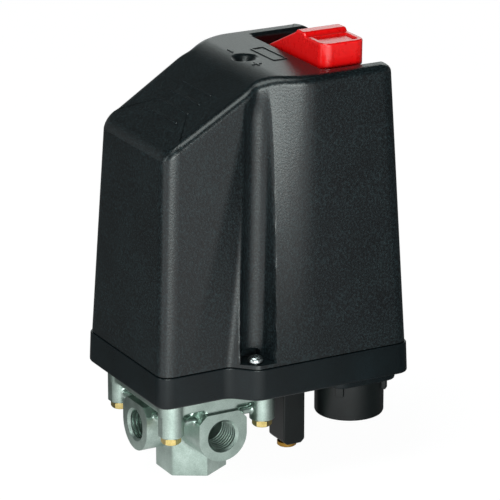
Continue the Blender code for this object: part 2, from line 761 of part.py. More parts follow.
def make_chassis():
    """Pressed steel frame: base plate, pivot ears and the tower that holds the adjusting screw."""
    low = (CHASSIS_LEFT, -CHASSIS_HALF, CHASSIS_BOTTOM)
    chassis = box(low, (CHASSIS_RIGHT, CHASSIS_HALF, CHASSIS_TOP))
    root = CHASSIS_TOP - GAP
    ear_x = (PIVOT_X - PIVOT_EAR, PIVOT_X + PIVOT_EAR)
    tower_x = (ADJUSTER_X - TOWER_HALF, ADJUSTER_X + TOWER_HALF)
    for side in (-1, 1):
        near, far = sorted((side * CHEEK_INNER, side * CHEEK_OUTER))
        ear_top = PIVOT_Z + PIVOT_EAR
        join(chassis, box((ear_x[0], near, root), (ear_x[1], far, ear_top)))
        join(chassis, box((tower_x[0], near, root), (tower_x[1], far, TOWER_TOP - GAP)))
    roof_low = (tower_x[0], -CHEEK_OUTER, TOWER_TOP - CHEEK_THICK)
    join(chassis, box(roof_low, (tower_x[1], CHEEK_OUTER, TOWER_TOP)))
    pin_hole = PIVOT_PIN + GAP
    reach = CHEEK_OUTER + 1.0
    cut(chassis, cylinder(pin_hole, (PIVOT_X, PIVOT_Z), -reach, reach, axis="Y", sides=SMALL_SIDES))
    screw_hole = ADJUSTER_SHANK + GAP
    roof = (TOWER_TOP - CHEEK_THICK - 1.0, TOWER_TOP + 1.0)
    cut(chassis, cylinder(screw_hole, (ADJUSTER_X, 0.0), *roof, sides=SMALL_SIDES))
    plate = (CHASSIS_BOTTOM - 1.0, CHASSIS_TOP + 1.0)
    cut(chassis, cylinder(PISTON_STEM + 2 * GAP, (0.0, 0.0), *plate))
    stem = (UNLOADER_X, UNLOADER_Y)
    cut(chassis, cylinder(UNLOADER_BORE, stem, *plate, sides=SMALL_SIDES))
    cut(chassis, cylinder(EARTH_SHANK + GAP, (EARTH_X, EARTH_Y), *plate, sides=SMALL_SIDES))
    for place in BOLT_PLACES:
        cut(chassis, cylinder(BOLT_SHANK + GAP, place, *plate, sides=SMALL_SIDES))
    finish("chassis_frame", chassis, "bright_zinc")


def make_pivot_pin():
    """Pin that the main lever tilts on."""
    reach = CHEEK_OUTER - GAP
    centre = (PIVOT_X, PIVOT_Z)
    pin = cylinder(PIVOT_PIN, centre, -reach, reach, axis="Y", sides=SMALL_SIDES)
    finish("lever_pivot_pin", pin, "spring_steel", (PIVOT_X, 0.0, PIVOT_Z))


def make_lever():
    """Main lever: flat plate with two ears round the pin and a wide end under the contact carrier."""
    left = PIVOT_X - PIVOT_EAR
    lever = box((left, -LEVER_HALF, LEVER_BOTTOM), (LEVER_BEND_X, LEVER_HALF, LEVER_TOP))
    tail = CARRIER_STEM_Y - CARRIER_STEM - GAP
    tail_low = (LEVER_BEND_X - GAP, tail, LEVER_BOTTOM)
    join(lever, box(tail_low, (LEVER_END_X, LEVER_HALF / 2, LEVER_TOP)))
    for side in (-1, 1):
        near, far = sorted((side * (LEVER_HALF - LEVER_EAR), side * LEVER_HALF))
        low = (left, near, LEVER_TOP - GAP)
        join(lever, box(low, (PIVOT_X + PIVOT_EAR, far, PIVOT_Z + PIVOT_EAR - GAP)))
    centre = (PIVOT_X, PIVOT_Z)
    reach = LEVER_HALF + 1.0
    hole = PIVOT_PIN + GAP
    cut(lever, cylinder(hole, centre, -reach, reach, axis="Y", sides=SMALL_SIDES))
    finish("main_lever", lever, "bright_zinc", (PIVOT_X, 0.0, PIVOT_Z))


def make_range_spring():
    """Adjusting screw, its travelling nut and the coil spring between nut and lever."""
    centre = (ADJUSTER_X, 0.0)
    head_bottom = TOWER_TOP + GAP
    head_top = head_bottom + ADJUSTER_HEAD_HEIGHT
    screw = cylinder(ADJUSTER_HEAD, centre, head_bottom, head_top)
    shank_top = head_bottom + GAP
    join(screw, cylinder(ADJUSTER_SHANK, centre, ADJUSTER_BOTTOM, shank_top, sides=SMALL_SIDES))
    half = ADJUSTER_SLOT / 2
    wide = ADJUSTER_HEAD + 1.0
    slot_low = (ADJUSTER_X - wide, -half, head_top - ADJUSTER_SLOT_DEPTH)
    cut(screw, box(slot_low, (ADJUSTER_X + wide, half, head_top + 1.0)))
    finish("adjusting_screw", screw, "bright_zinc", (ADJUSTER_X, 0.0, TOWER_TOP))

    nut_top = NUT_BOTTOM + NUT_THICK
    nut_half = CHEEK_INNER - GAP
    nut_low = (ADJUSTER_X - NUT_HALF_X, -nut_half, NUT_BOTTOM)
    nut = box(nut_low, (ADJUSTER_X + NUT_HALF_X, nut_half, nut_top))
    through = (NUT_BOTTOM - 1.0, nut_top + 1.0)
    cut(nut, cylinder(ADJUSTER_SHANK + GAP, centre, *through, sides=SMALL_SIDES))
    finish("spring_seat_nut", nut, "yellow_zinc", (ADJUSTER_X, 0.0, NUT_BOTTOM))

    low = LEVER_TOP + GAP
    high = NUT_BOTTOM - GAP
    spring = coil(SPRING_RADIUS, SPRING_WIRE, SPRING_TURNS, low, high, centre, 10, 1)
    finish("main_spring", spring, "spring_steel", (ADJUSTER_X, 0.0, low))


def terminal_places():
    """Every terminal screw's phase number, end label, X and Y."""
    ends = (
        ("line", BLOCK_LEFT + TERMINAL_INSET),
        ("load", BLOCK_RIGHT - TERMINAL_INSET),
    )
    return [(n, label, x, y) for n, y in enumerate(PHASES, 1) for label, x in ends]


def make_contact_block():
    """Moulded block that carries the fixed contacts, on two feet on the chassis."""
    low = (BLOCK_LEFT, BLOCK_FRONT, BLOCK_BOTTOM)
    block = box(low, (BLOCK_RIGHT, BLOCK_BACK, BLOCK_TOP))
    foot_right = BLOCK_LEFT + BLOCK_FOOT_X
    foot_bottom = CHASSIS_TOP + GAP
    for front in (BLOCK_FRONT, BLOCK_BACK - BLOCK_FOOT_Y):
        foot_low = (BLOCK_LEFT, front, foot_bottom)
        join(block, box(foot_low, (foot_right, front + BLOCK_FOOT_Y, BLOCK_BOTTOM + GAP)))
    stem = (CARRIER_X, CARRIER_STEM_Y)
    through = (BLOCK_BOTTOM - 1.0, BLOCK_TOP + 1.0)
    cut(block, cylinder(CARRIER_STEM + GAP, stem, *through, sides=SMALL_SIDES))
    bottom = BLOCK_TOP - TERMINAL_DEPTH
    for _, _, x, y in terminal_places():
        hole = TERMINAL_SHANK + GAP
        cut(block, cylinder(hole, (x, y), bottom, BLOCK_TOP + 1.0, sides=SMALL_SIDES))
    finish("contact_block", block, "black_plastic")


def make_terminals():
    """A fixed contact strip and its clamping screw at both ends of each phase."""
    for number, label, x, y in terminal_places():
        if label == "line":
            left = BLOCK_LEFT + STRIP_INSET
        else:
            left = BLOCK_RIGHT - STRIP_INSET - STRIP_LENGTH
        low = (left, y - STRIP_HALF, STRIP_BOTTOM)
        strip = box(low, (left + STRIP_LENGTH, y + STRIP_HALF, STRIP_TOP))
        hole = TERMINAL_SHANK + GAP
        through = (STRIP_BOTTOM - 1.0, STRIP_TOP + 1.0)
        cut(strip, cylinder(hole, (x, y), *through, sides=SMALL_SIDES))
        finish(f"fixed_contact_{label}_{number}", strip, "brass", (x, y, STRIP_BOTTOM))

        seat = STRIP_TOP + GAP
        top = seat + TERMINAL_HEAD_HEIGHT
        screw = cylinder(TERMINAL_HEAD, (x, y), seat, top, sides=SMALL_SIDES)
        bottom = BLOCK_TOP - TERMINAL_DEPTH + GAP
        join(screw, cylinder(TERMINAL_SHANK, (x, y), bottom, seat + GAP, sides=SMALL_SIDES))
        half = ADJUSTER_SLOT / 2
        wide = TERMINAL_HEAD + 1.0
        slot_low = (x - wide, y - half, top - TERMINAL_HEAD_HEIGHT / 2)
        cut(screw, box(slot_low, (x + wide, y + half, top + 1.0)))
        finish(f"terminal_screw_{label}_{number}", screw, "bright_zinc", (x, y, seat))


def make_contact_carrier():
    """Moulded carrier with its stem, the three bridges and their contact springs."""
    low = (CARRIER_X - CARRIER_HALF_X, CARRIER_FRONT, CARRIER_BOTTOM)
    high = (CARRIER_X + CARRIER_HALF_X, CARRIER_BACK, CARRIER_BOTTOM + CARRIER_THICK)
    carrier = box(low, high)
    root = CARRIER_BOTTOM + GAP
    stem = (CARRIER_X, CARRIER_STEM_Y)
    join(carrier, cylinder(CARRIER_STEM, stem, LEVER_TOP + GAP, root, sides=SMALL_SIDES))
    seat = BRIDGE_TOP + GAP
    for number, y in enumerate(PHASES, 1):
        centre = (CARRIER_X, y)
        join(carrier, cylinder(CARRIER_STUB, centre, seat, root, sides=SMALL_SIDES))
        bridge_low = (CARRIER_X - BRIDGE_HALF, y - STRIP_HALF, BRIDGE_BOTTOM)
        bridge = box(bridge_low, (CARRIER_X + BRIDGE_HALF, y + STRIP_HALF, BRIDGE_TOP))
        finish(f"contact_bridge_{number}", bridge, "copper", (CARRIER_X, y, BRIDGE_BOTTOM))
        spring = coil(
            CONTACT_SPRING_RADIUS,
            CONTACT_SPRING_WIRE,
            CONTACT_SPRING_TURNS,
            seat,
            CARRIER_BOTTOM - GAP,
            centre,
            8,
            0,
        )
        finish(f"contact_spring_{number}", spring, "spring_steel", (CARRIER_X, y, seat))
    finish("contact_carrier", carrier, "grey_plastic", (CARRIER_X, 0.0, CARRIER_BOTTOM))


def make_off_link():
    """Link that the rocker lifts to open the contacts, with a foot under the carrier."""
    foot_top = CARRIER_BOTTOM - LINK_FOOT_GAP
    foot_bottom = foot_top - LINK_FOOT_THICK
    front = LINK_Y - LINK_HALF
    back = LINK_Y + LINK_HALF
    right = LINK_LEFT + LINK_WIDTH
    link = box((LINK_LEFT, front, foot_bottom), (right, back, LINK_TOP))
    join(link, box((LINK_FOOT_LEFT, front, foot_bottom), (LINK_LEFT + GAP, back, foot_top)))
    finish("off_link", link, "bright_zinc", (LINK_LEFT, LINK_Y, LINK_TOP))


def make_rocker():
    """Hollow red rocker, its pin and the bracket that the pin runs through."""
    right = ROCKER_LEFT + ROCKER_WIDTH
    profile = [(y, ROCKER_PIVOT_Z + z) for y, z in ROCKER_PROFILE]
    rocker = prism(profile, ROCKER_LEFT, right, axis="X")
    flat = [(y, z, 0.0) for y, z in profile]
    inner = [(y, z) for y, z, _ in offset(flat, -ROCKER_WALL)]
    dropped = [(y, z - 2 * ROCKER_WALL) for y, z in inner[:2]]
    hollow = prism(dropped + inner[2:], ROCKER_LEFT + ROCKER_WALL, right - ROCKER_WALL, axis="X")
    cut(rocker, hollow)
    centre = (0.0, ROCKER_PIVOT_Z)
    hole = ROCKER_PIN + GAP
    ends = (ROCKER_LEFT - 1.0, right + 1.0)
    cut(rocker, cylinder(hole, centre, *ends, axis="X", sides=SMALL_SIDES))
    finish("rocker_button", rocker, "red_plastic", (ROCKER_LEFT, 0.0, ROCKER_PIVOT_Z))

    pin = cylinder(
        ROCKER_PIN, centre, ROCKER_LEFT + GAP, right - GAP, axis="X", sides=SMALL_SIDES
    )
    finish("rocker_pin", pin, "spring_steel", (ROCKER_LEFT, 0.0, ROCKER_PIVOT_Z))

    middle = LINK_LEFT - ROCKER_WALL - BRACKET_WIDTH / 2
    post_x = (middle - BRACKET_WIDTH / 2, middle + BRACKET_WIDTH / 2)
    bottom = RECESS_FLOOR + GAP
    foot_top = bottom + BRACKET_FOOT_HEIGHT
    bracket = box((post_x[0], -BRACKET_FOOT, bottom), (post_x[1], BRACKET_FOOT, foot_top))
    top = ROCKER_PIVOT_Z + BRACKET_RISE
    join(bracket, box((post_x[0], -BRACKET_HALF, bottom + GAP), (post_x[1], BRACKET_HALF, top)))
    cut(bracket, cylinder(hole, centre, *ends, axis="X", sides=SMALL_SIDES))
    finish("rocker_bracket", bracket, "black_plastic", (middle, 0.0, bottom))


def make_unloader():
    """Unloader valve under the tray: body, brass nipple and the stem up to the lever."""
    centre = (UNLOADER_X, UNLOADER_Y)
    half_x = UNLOADER_WIDTH / 2
    half_y = UNLOADER_LENGTH / 2
    lift = UNLOADER_BOTTOM + UNLOADER_CHAMFER
    side = half_x - UNLOADER_CHAMFER
    outline = [
        (UNLOADER_X - side, UNLOADER_BOTTOM),
        (UNLOADER_X + side, UNLOADER_BOTTOM),
        (UNLOADER_X + half_x, lift),
        (UNLOADER_X + half_x, PLATE_TOP),
        (UNLOADER_X - half_x, PLATE_TOP),
        (UNLOADER_X - half_x, lift),
    ]
    body = prism(outline, UNLOADER_Y - half_y, UNLOADER_Y + half_y, axis="Y")
    above = PLATE_TOP + 1.0
    cut(body, cylinder(UNLOADER_BORE, centre, UNLOADER_BORE_BOTTOM, above, sides=SMALL_SIDES))
    thread_top = UNLOADER_BOTTOM + NIPPLE_THREAD_LENGTH
    seat = (UNLOADER_BOTTOM - 1.0, thread_top)
    cut(body, cylinder(NIPPLE_THREAD + GAP, centre, *seat, sides=SMALL_SIDES))
    duct = (thread_top - 1.0, UNLOADER_BORE_BOTTOM + 1.0)
    cut(body, cylinder(NIPPLE_BORE, centre, *duct, sides=SMALL_SIDES))
    finish("unloader_body", body, "black_plastic", (*centre, PLATE_TOP))

    rim = UNLOADER_BOTTOM - GAP
    nipple = cylinder(NIPPLE_RADIUS, centre, rim - NIPPLE_PROUD + GAP, rim)
    screwed = cylinder(NIPPLE_THREAD, centre, rim - GAP, thread_top - GAP, sides=SMALL_SIDES)
    join(nipple, screwed)
    through = (rim - NIPPLE_PROUD - 1.0, thread_top + 1.0)
    cut(nipple, cylinder(NIPPLE_BORE, centre, *through, sides=SMALL_SIDES))
    finish("unloader_nipple", nipple, "brass", (*centre, rim))

    stem = cylinder(STEM_RADIUS, centre, STEM_BOTTOM, LEVER_BOTTOM - GAP, sides=SMALL_SIDES)
    finish("unloader_stem", stem, "brass", (*centre, STEM_BOTTOM))


def make_gland(side, label):
    """One cable gland: body with four lugs, rubber seal, retainer ring and locknut."""
    x, y = GLAND_X, side * GLAND_Y
    centre = (x, y)
    body_top = PAD_BOTTOM - GAP
    body = cylinder(GLAND_RADIUS, centre, GLAND_BOTTOM, body_top, sides=36)
    join(body, cylinder(GLAND_NECK, centre, body_top - GAP, GLAND_NECK_TOP))
    for quarter in range(4):
        turn = Matrix.Rotation(math.pi / 4 + quarter * math.pi / 2, 4, "Z")
        half = LUG_WIDTH / 2
        reach = GLAND_RADIUS + LUG_PROUD
        lug = box((GLAND_NECK, -half, body_top - LUG_HEIGHT), (reach, half, body_top - GAP))
        lug.data.transform(Matrix.Translation((x, y, 0.0)) @ turn)
        join(body, lug)
    pocket_top = GLAND_BOTTOM + GLAND_POCKET_DEPTH
    cut(body, cylinder(GLAND_BORE, centre, GLAND_BOTTOM - 1.0, GLAND_NECK_TOP + 1.0))
    cut(body, cylinder(GLAND_POCKET, centre, GLAND_BOTTOM - 1.0, pocket_top))
    finish(f"gland_body_{label}", body, "black_plastic", (x, y, GLAND_BOTTOM))

    def ring(name, outer, inner, low, high, look, sides=ROUND_SIDES):
        made = cylinder(outer, centre, low, high, sides=sides)
        cut(made, cylinder(inner, centre, low - 1.0, high + 1.0))
        finish(f"{name}_{label}", made, look, (x, y, low))

    packed = GLAND_POCKET - GAP
    seal_top = pocket_top - GAP
    seal_bottom = seal_top - GLAND_SEAL_HEIGHT
    ring("gland_seal", packed, GLAND_SEAL_BORE, seal_bottom, seal_top, "rubber")
    retainer_top = seal_bottom - GAP
    retainer_bottom = retainer_top - GLAND_RETAINER_HEIGHT
    bore = GLAND_RETAINER_BORE
    ring("gland_retainer", packed, bore, retainer_bottom, retainer_top, "black_plastic")
    nut_bottom = FLOOR_TOP + GAP
    nut_top = nut_bottom + LOCKNUT_HEIGHT
    bore = GLAND_NECK + GAP
    ring("gland_locknut", LOCKNUT_RADIUS, bore, nut_bottom, nut_top, "black_plastic", 12)


def make_earth_screw():
    """Screw for the protective earth wire, on the chassis plate."""
    centre = (EARTH_X, EARTH_Y)
    seat = CHASSIS_TOP + GAP
    top = seat + EARTH_HEAD_HEIGHT
    screw = cylinder(EARTH_HEAD, centre, seat, top, sides=SMALL_SIDES)
    shank = cylinder(EARTH_SHANK, centre, CHASSIS_BOTTOM, seat + GAP, sides=SMALL_SIDES)
    join(screw, shank)
    half = ADJUSTER_SLOT / 2
    wide = EARTH_HEAD + 1.0
    slot_low = (EARTH_X - wide, EARTH_Y - half, top - EARTH_HEAD_HEIGHT / 2)
    cut(screw, box(slot_low, (EARTH_X + wide, EARTH_Y + half, top + 1.0)))
    finish("earth_screw", screw, "yellow_zinc", (*centre, seat))


def main():
    """Build every piece of the switch."""
    clear_scene()
    make_hood()
    make_tray()
    make_flange()
    make_flange_bolts()
    make_hood_screws()
    make_diaphragm()
    make_piston()
    make_chassis()
    make_pivot_pin()
    make_lever()
    make_range_spring()
    make_contact_block()
    make_terminals()
    make_contact_carrier()
    make_off_link()
    make_rocker()
    make_unloader()
    for side, label in ((-1, "front"), (1, "back")):
        make_gland(side, label)
    make_earth_screw()


main()
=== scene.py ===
"""Air-compressor pressure switch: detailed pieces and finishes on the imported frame.

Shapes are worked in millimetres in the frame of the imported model, and each finished piece is
turned into metres. The origin is the centre of the tank port's face, +Z up, +X to the glands.
"""

from __future__ import annotations

import logging
import math
from dataclasses import dataclass, field, replace
from enum import Enum
from typing import Callable, Iterable, Sequence

import bmesh
import bpy
from mathutils import Matrix, Vector


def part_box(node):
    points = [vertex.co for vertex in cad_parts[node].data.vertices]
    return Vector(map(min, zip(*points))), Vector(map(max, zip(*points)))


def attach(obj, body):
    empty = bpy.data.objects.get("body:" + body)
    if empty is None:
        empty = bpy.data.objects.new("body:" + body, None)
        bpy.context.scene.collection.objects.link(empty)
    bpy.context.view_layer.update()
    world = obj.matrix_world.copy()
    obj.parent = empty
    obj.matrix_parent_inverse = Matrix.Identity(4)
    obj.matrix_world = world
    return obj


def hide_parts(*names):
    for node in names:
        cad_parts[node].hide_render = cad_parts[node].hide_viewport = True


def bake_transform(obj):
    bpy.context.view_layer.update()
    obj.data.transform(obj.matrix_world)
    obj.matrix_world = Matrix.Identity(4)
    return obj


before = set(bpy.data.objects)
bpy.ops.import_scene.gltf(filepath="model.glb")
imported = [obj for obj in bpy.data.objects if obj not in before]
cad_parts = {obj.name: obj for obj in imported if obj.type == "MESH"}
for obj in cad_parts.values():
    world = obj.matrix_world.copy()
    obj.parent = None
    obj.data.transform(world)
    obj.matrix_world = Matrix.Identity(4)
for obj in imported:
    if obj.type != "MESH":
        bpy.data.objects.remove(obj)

MM = 0.001
CLEARANCE = 0.3  # millimetres between pieces that touch on the real switch
MERGE_TURNED = 0.0005  # millimetres, where a turned profile meets its axis
MERGE_FOLDED = 0.002  # millimetres, where a loft's last section has folded onto a line
LOG = logging.getLogger("pressure_switch")

Point = tuple[float, float]
Corner = tuple[float, float, float]
Triple = tuple[float, float, float]


class Axis(Enum):
    """Direction that a turned or extruded shape runs along."""

    X = "X"
    Y = "Y"
    Z = "Z"


class Body(Enum):
    """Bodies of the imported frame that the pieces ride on."""

    HOUSING = "housing"
    ROCKER = "rocker"
    LEVER = "lever"
    SEAT = "spring_seat"


class Slot(Enum):
    """Material slots of the record."""

    HOOD = "hood_plastic"
    TRAY = "tray_plastic"
    BLACK = "black_plastic"
    RED = "red_plastic"
    GREY = "grey_plastic"
    CAST = "cast_aluminium"
    YELLOW = "yellow_zinc"
    BRIGHT = "bright_zinc"
    BRASS = "brass"
    COPPER = "copper"
    RUBBER = "rubber"
    SPRING = "spring_steel"


class Carve(Enum):
    """What a Boolean does with its tool."""

    JOIN = "UNION"
    CUT = "DIFFERENCE"
    COMMON = "INTERSECT"


# A local shape runs along its own Z; these turn that onto each axis.
AXIS_FRAMES: dict[Axis, Matrix] = {
    Axis.X: Matrix(((0, 0, 1, 0), (1, 0, 0, 0), (0, 1, 0, 0), (0, 0, 0, 1))),
    Axis.Y: Matrix(((1, 0, 0, 0), (0, 0, 1, 0), (0, 1, 0, 0), (0, 0, 0, 1))),
    Axis.Z: Matrix.Identity(4),
}


# ---------------------------------------------------------------- nodes and finishes


def srgb(code: str) -> tuple[float, float, float, float]:
    """Turn an sRGB hex colour into the linear colour that a shader takes.

    Args:
        code: Colour as six hex digits, with or without a leading hash.

    Returns:
        Linear red, green, blue and full alpha.
    """
    digits = code.lstrip("#")
    linear = []
    for start in (0, 2, 4):
        value = int(digits[start : start + 2], 16) / 255
        linear.append(value / 12.92 if value <= 0.04045 else ((value + 0.055) / 1.055) ** 2.4)
    return (linear[0], linear[1], linear[2], 1.0)


def per_mm(size: float) -> float:
    """Texture scale, on coordinates in metres, of a pattern that repeats every size millimetres."""
    return 1.0 / (size * MM)


def add_node(
    tree: bpy.types.NodeTree,
    kind: str,
    settings: dict[str, object] | None = None,
    inputs: dict[str | int, object] | None = None,
) -> bpy.types.Node:
    """Add a node with its settings, and fill or link its inputs.

    Args:
        tree: Node tree that takes the node.
        kind: Blender's name of the node type.
        settings: Attributes to set on the node.
        inputs: Value or output socket for each input, by name or by index.

    Returns:
        The new node.
    """
    node = tree.nodes.new(kind)
    for name, value in (settings or {}).items():
        setattr(node, name, value)
    for key, value in (inputs or {}).items():
        socket = node.inputs[key]
        if isinstance(value, bpy.types.NodeSocket):
            tree.links.new(value, socket)
        else:
            socket.default_value = value
    return node


def arithmetic(tree: bpy.types.NodeTree, operation: str, *values: object) -> bpy.types.NodeSocket:
    """Result of a calculation with values or output sockets."""
    numbered = dict(enumerate(values))
    return add_node(tree, "ShaderNodeMath", {"operation": operation}, numbered).outputs[0]


def in_scene(name: str, data: bpy.types.ID) -> bpy.types.Object:
    """A new object of the scene that shows the data."""
    made = bpy.data.objects.new(name, data)
    bpy.context.scene.collection.objects.link(made)
    return made


def ramp(
    tree: bpy.types.NodeTree, factor: bpy.types.NodeSocket, stops: Sequence[tuple[float, str]]
) -> bpy.types.NodeSocket:
    """Colour that runs through hex stops as the factor goes from 0 to 1.

    Args:
        tree: Node tree that takes the node.
        factor: Socket that picks the place on the ramp.
        stops: Place and hex colour of each stop, in order.

    Returns:
        The ramp's colour output.
    """
    node = add_node(tree, "ShaderNodeValToRGB", inputs={"Fac": factor})
    band = node.color_ramp
    while len(band.elements) < len(stops):
        band.elements.new(0.5)
    for element, (place, code) in zip(band.elements, stops):
        element.position = place
        element.color = srgb(code)
    return node.outputs["Color"]


@dataclass(frozen=True)
class Finish:
    """A finish: what the real surface is, its colours and the grain that shows on it."""

    name: str
    stops: tuple[tuple[float, str], ...]
    rough: tuple[float, float]
    metallic: float = 0.0
    ior: float = 1.5
    cloud_mm: float = 14.0
    grain_mm: float = 0.6
    grain_depth_mm: float = 0.02
    grain_strength: float = 0.4
    grain_detail: float = 2.0
    grain_share: float = 0.5

    def build(self) -> bpy.types.Material:
        """Make the material: clouded colour and roughness, and a fine grain as bump.

        Returns:
            The finished material.
        """
        made = bpy.data.materials.new(self.name)
        made.use_nodes = True
        tree = made.node_tree
        tree.nodes.clear()
        place = add_node(tree, "ShaderNodeTexCoord").outputs["Object"]
        grain = self.grain(tree, place)
        tint = self.tint(tree, place, grain)
        height, strength, depth = self.relief(tree, place, grain)
        bump = add_node(
            tree,
            "ShaderNodeBump",
            inputs={"Height": height, "Strength": strength, "Distance": depth * MM},
        )
        spread = add_node(
            tree,
            "ShaderNodeMapRange",
            inputs={"Value": tint, "To Min": self.rough[0], "To Max": self.rough[1]},
        )
        shader = add_node(
            tree,
            "ShaderNodeBsdfPrincipled",
            inputs={
                "Base Color": ramp(tree, tint, self.stops),
                "Roughness": spread.outputs["Result"],
                "Metallic": self.metallic,
                "Normal": bump.outputs["Normal"],
            },
        )
        if self.metallic == 0.0:
            shader.inputs["IOR"].default_value = self.ior
        self.dress(shader)
        add_node(tree, "ShaderNodeOutputMaterial", inputs={"Surface": shader.outputs["BSDF"]})
        return made

    def grain(self, tree: bpy.types.NodeTree, place: bpy.types.NodeSocket) -> bpy.types.NodeSocket:
        """Fine speckle of the surface, as a height."""
        scale = per_mm(self.grain_mm)
        speckle = {"Vector": place, "Scale": scale, "Detail": self.grain_detail}
        return add_node(tree, "ShaderNodeTexNoise", inputs=speckle).outputs["Fac"]

    def tint(
        self,
        tree: bpy.types.NodeTree,
        place: bpy.types.NodeSocket,
        grain: bpy.types.NodeSocket,
    ) -> bpy.types.NodeSocket:
        """Slow clouds mixed with a little of the grain, which steer colour and roughness.

        Args:
            tree: Node tree that takes the nodes.
            place: Object coordinates.
            grain: Output of the fine grain.

        Returns:
            A factor from 0 to 1.
        """
        cloud = add_node(
            tree,
            "ShaderNodeTexNoise",
            inputs={"Vector": place, "Scale": per_mm(self.cloud_mm), "Detail": 3.0},
        )
        mixed = add_node(
            tree,
            "ShaderNodeMix",
            {"data_type": "FLOAT"},
            {0: self.grain_share, 2: cloud.outputs["Fac"], 3: grain},
        )
        return mixed.outputs[0]

    def relief(
        self,
        tree: bpy.types.NodeTree,
        place: bpy.types.NodeSocket,
        grain: bpy.types.NodeSocket,
    ) -> tuple[bpy.types.NodeSocket, float, float]:
        """Height, bump strength and depth in millimetres of the relief."""
        return grain, self.grain_strength, self.grain_depth_mm

    def dress(self, shader: bpy.types.Node) -> None:
        """Set what this finish adds to the shader; the plain finish adds nothing."""


@dataclass(frozen=True)
class GlossFinish(Finish):
    """A finish with a clear polished skin over its colour."""

    coat: float = 0.6
    coat_rough: float = 0.08

    def dress(self, shader: bpy.types.Node) -> None:
        """Lay the polished skin over the colour."""
        shader.inputs["Coat Weight"].default_value = self.coat
        shader.inputs["Coat Roughness"].default_value = self.coat_rough


@dataclass(frozen=True)
class TurnedFinish(Finish):
    """A finish cut on a lathe or with a drill: fine rings round the cutter's axis."""

    axis: Axis = Axis.Z
    centre: Triple = (0.0, 0.0, 0.0)
    pitch_mm: float = 0.5

    def relief(
        self,
        tree: bpy.types.NodeTree,
        place: bpy.types.NodeSocket,
        grain: bpy.types.NodeSocket,
    ) -> tuple[bpy.types.NodeSocket, float, float]:
        """Rings round the axis, broken up by the grain.

        Args:
            tree: Node tree that takes the nodes.
            place: Object coordinates.
            grain: Output of the fine grain.

        Returns:
            Height socket, bump strength and depth in millimetres.
        """
        shift = tuple(-value * MM for value in self.centre)
        moved = add_node(
            tree, "ShaderNodeMapping", inputs={"Vector": place, "Location": shift}
        )
        # A wave texture draws ten rings to each unit of its scale.
        rings = add_node(
            tree,
            "ShaderNodeTexWave",
            {"wave_type": "RINGS", "rings_direction": self.axis.value},
            {
                "Vector": moved.outputs["Vector"],
                "Scale": per_mm(self.pitch_mm) * math.tau / 20.0,
                "Distortion": 0.6,
                "Detail": 2.0,
            },
        )
        mixed = add_node(
            tree,
            "ShaderNodeMix",
            {"data_type": "FLOAT"},
            {0: 0.35, 2: rings.outputs["Fac"], 3: grain},
        )
        return mixed.outputs[0], self.grain_strength, self.grain_depth_mm


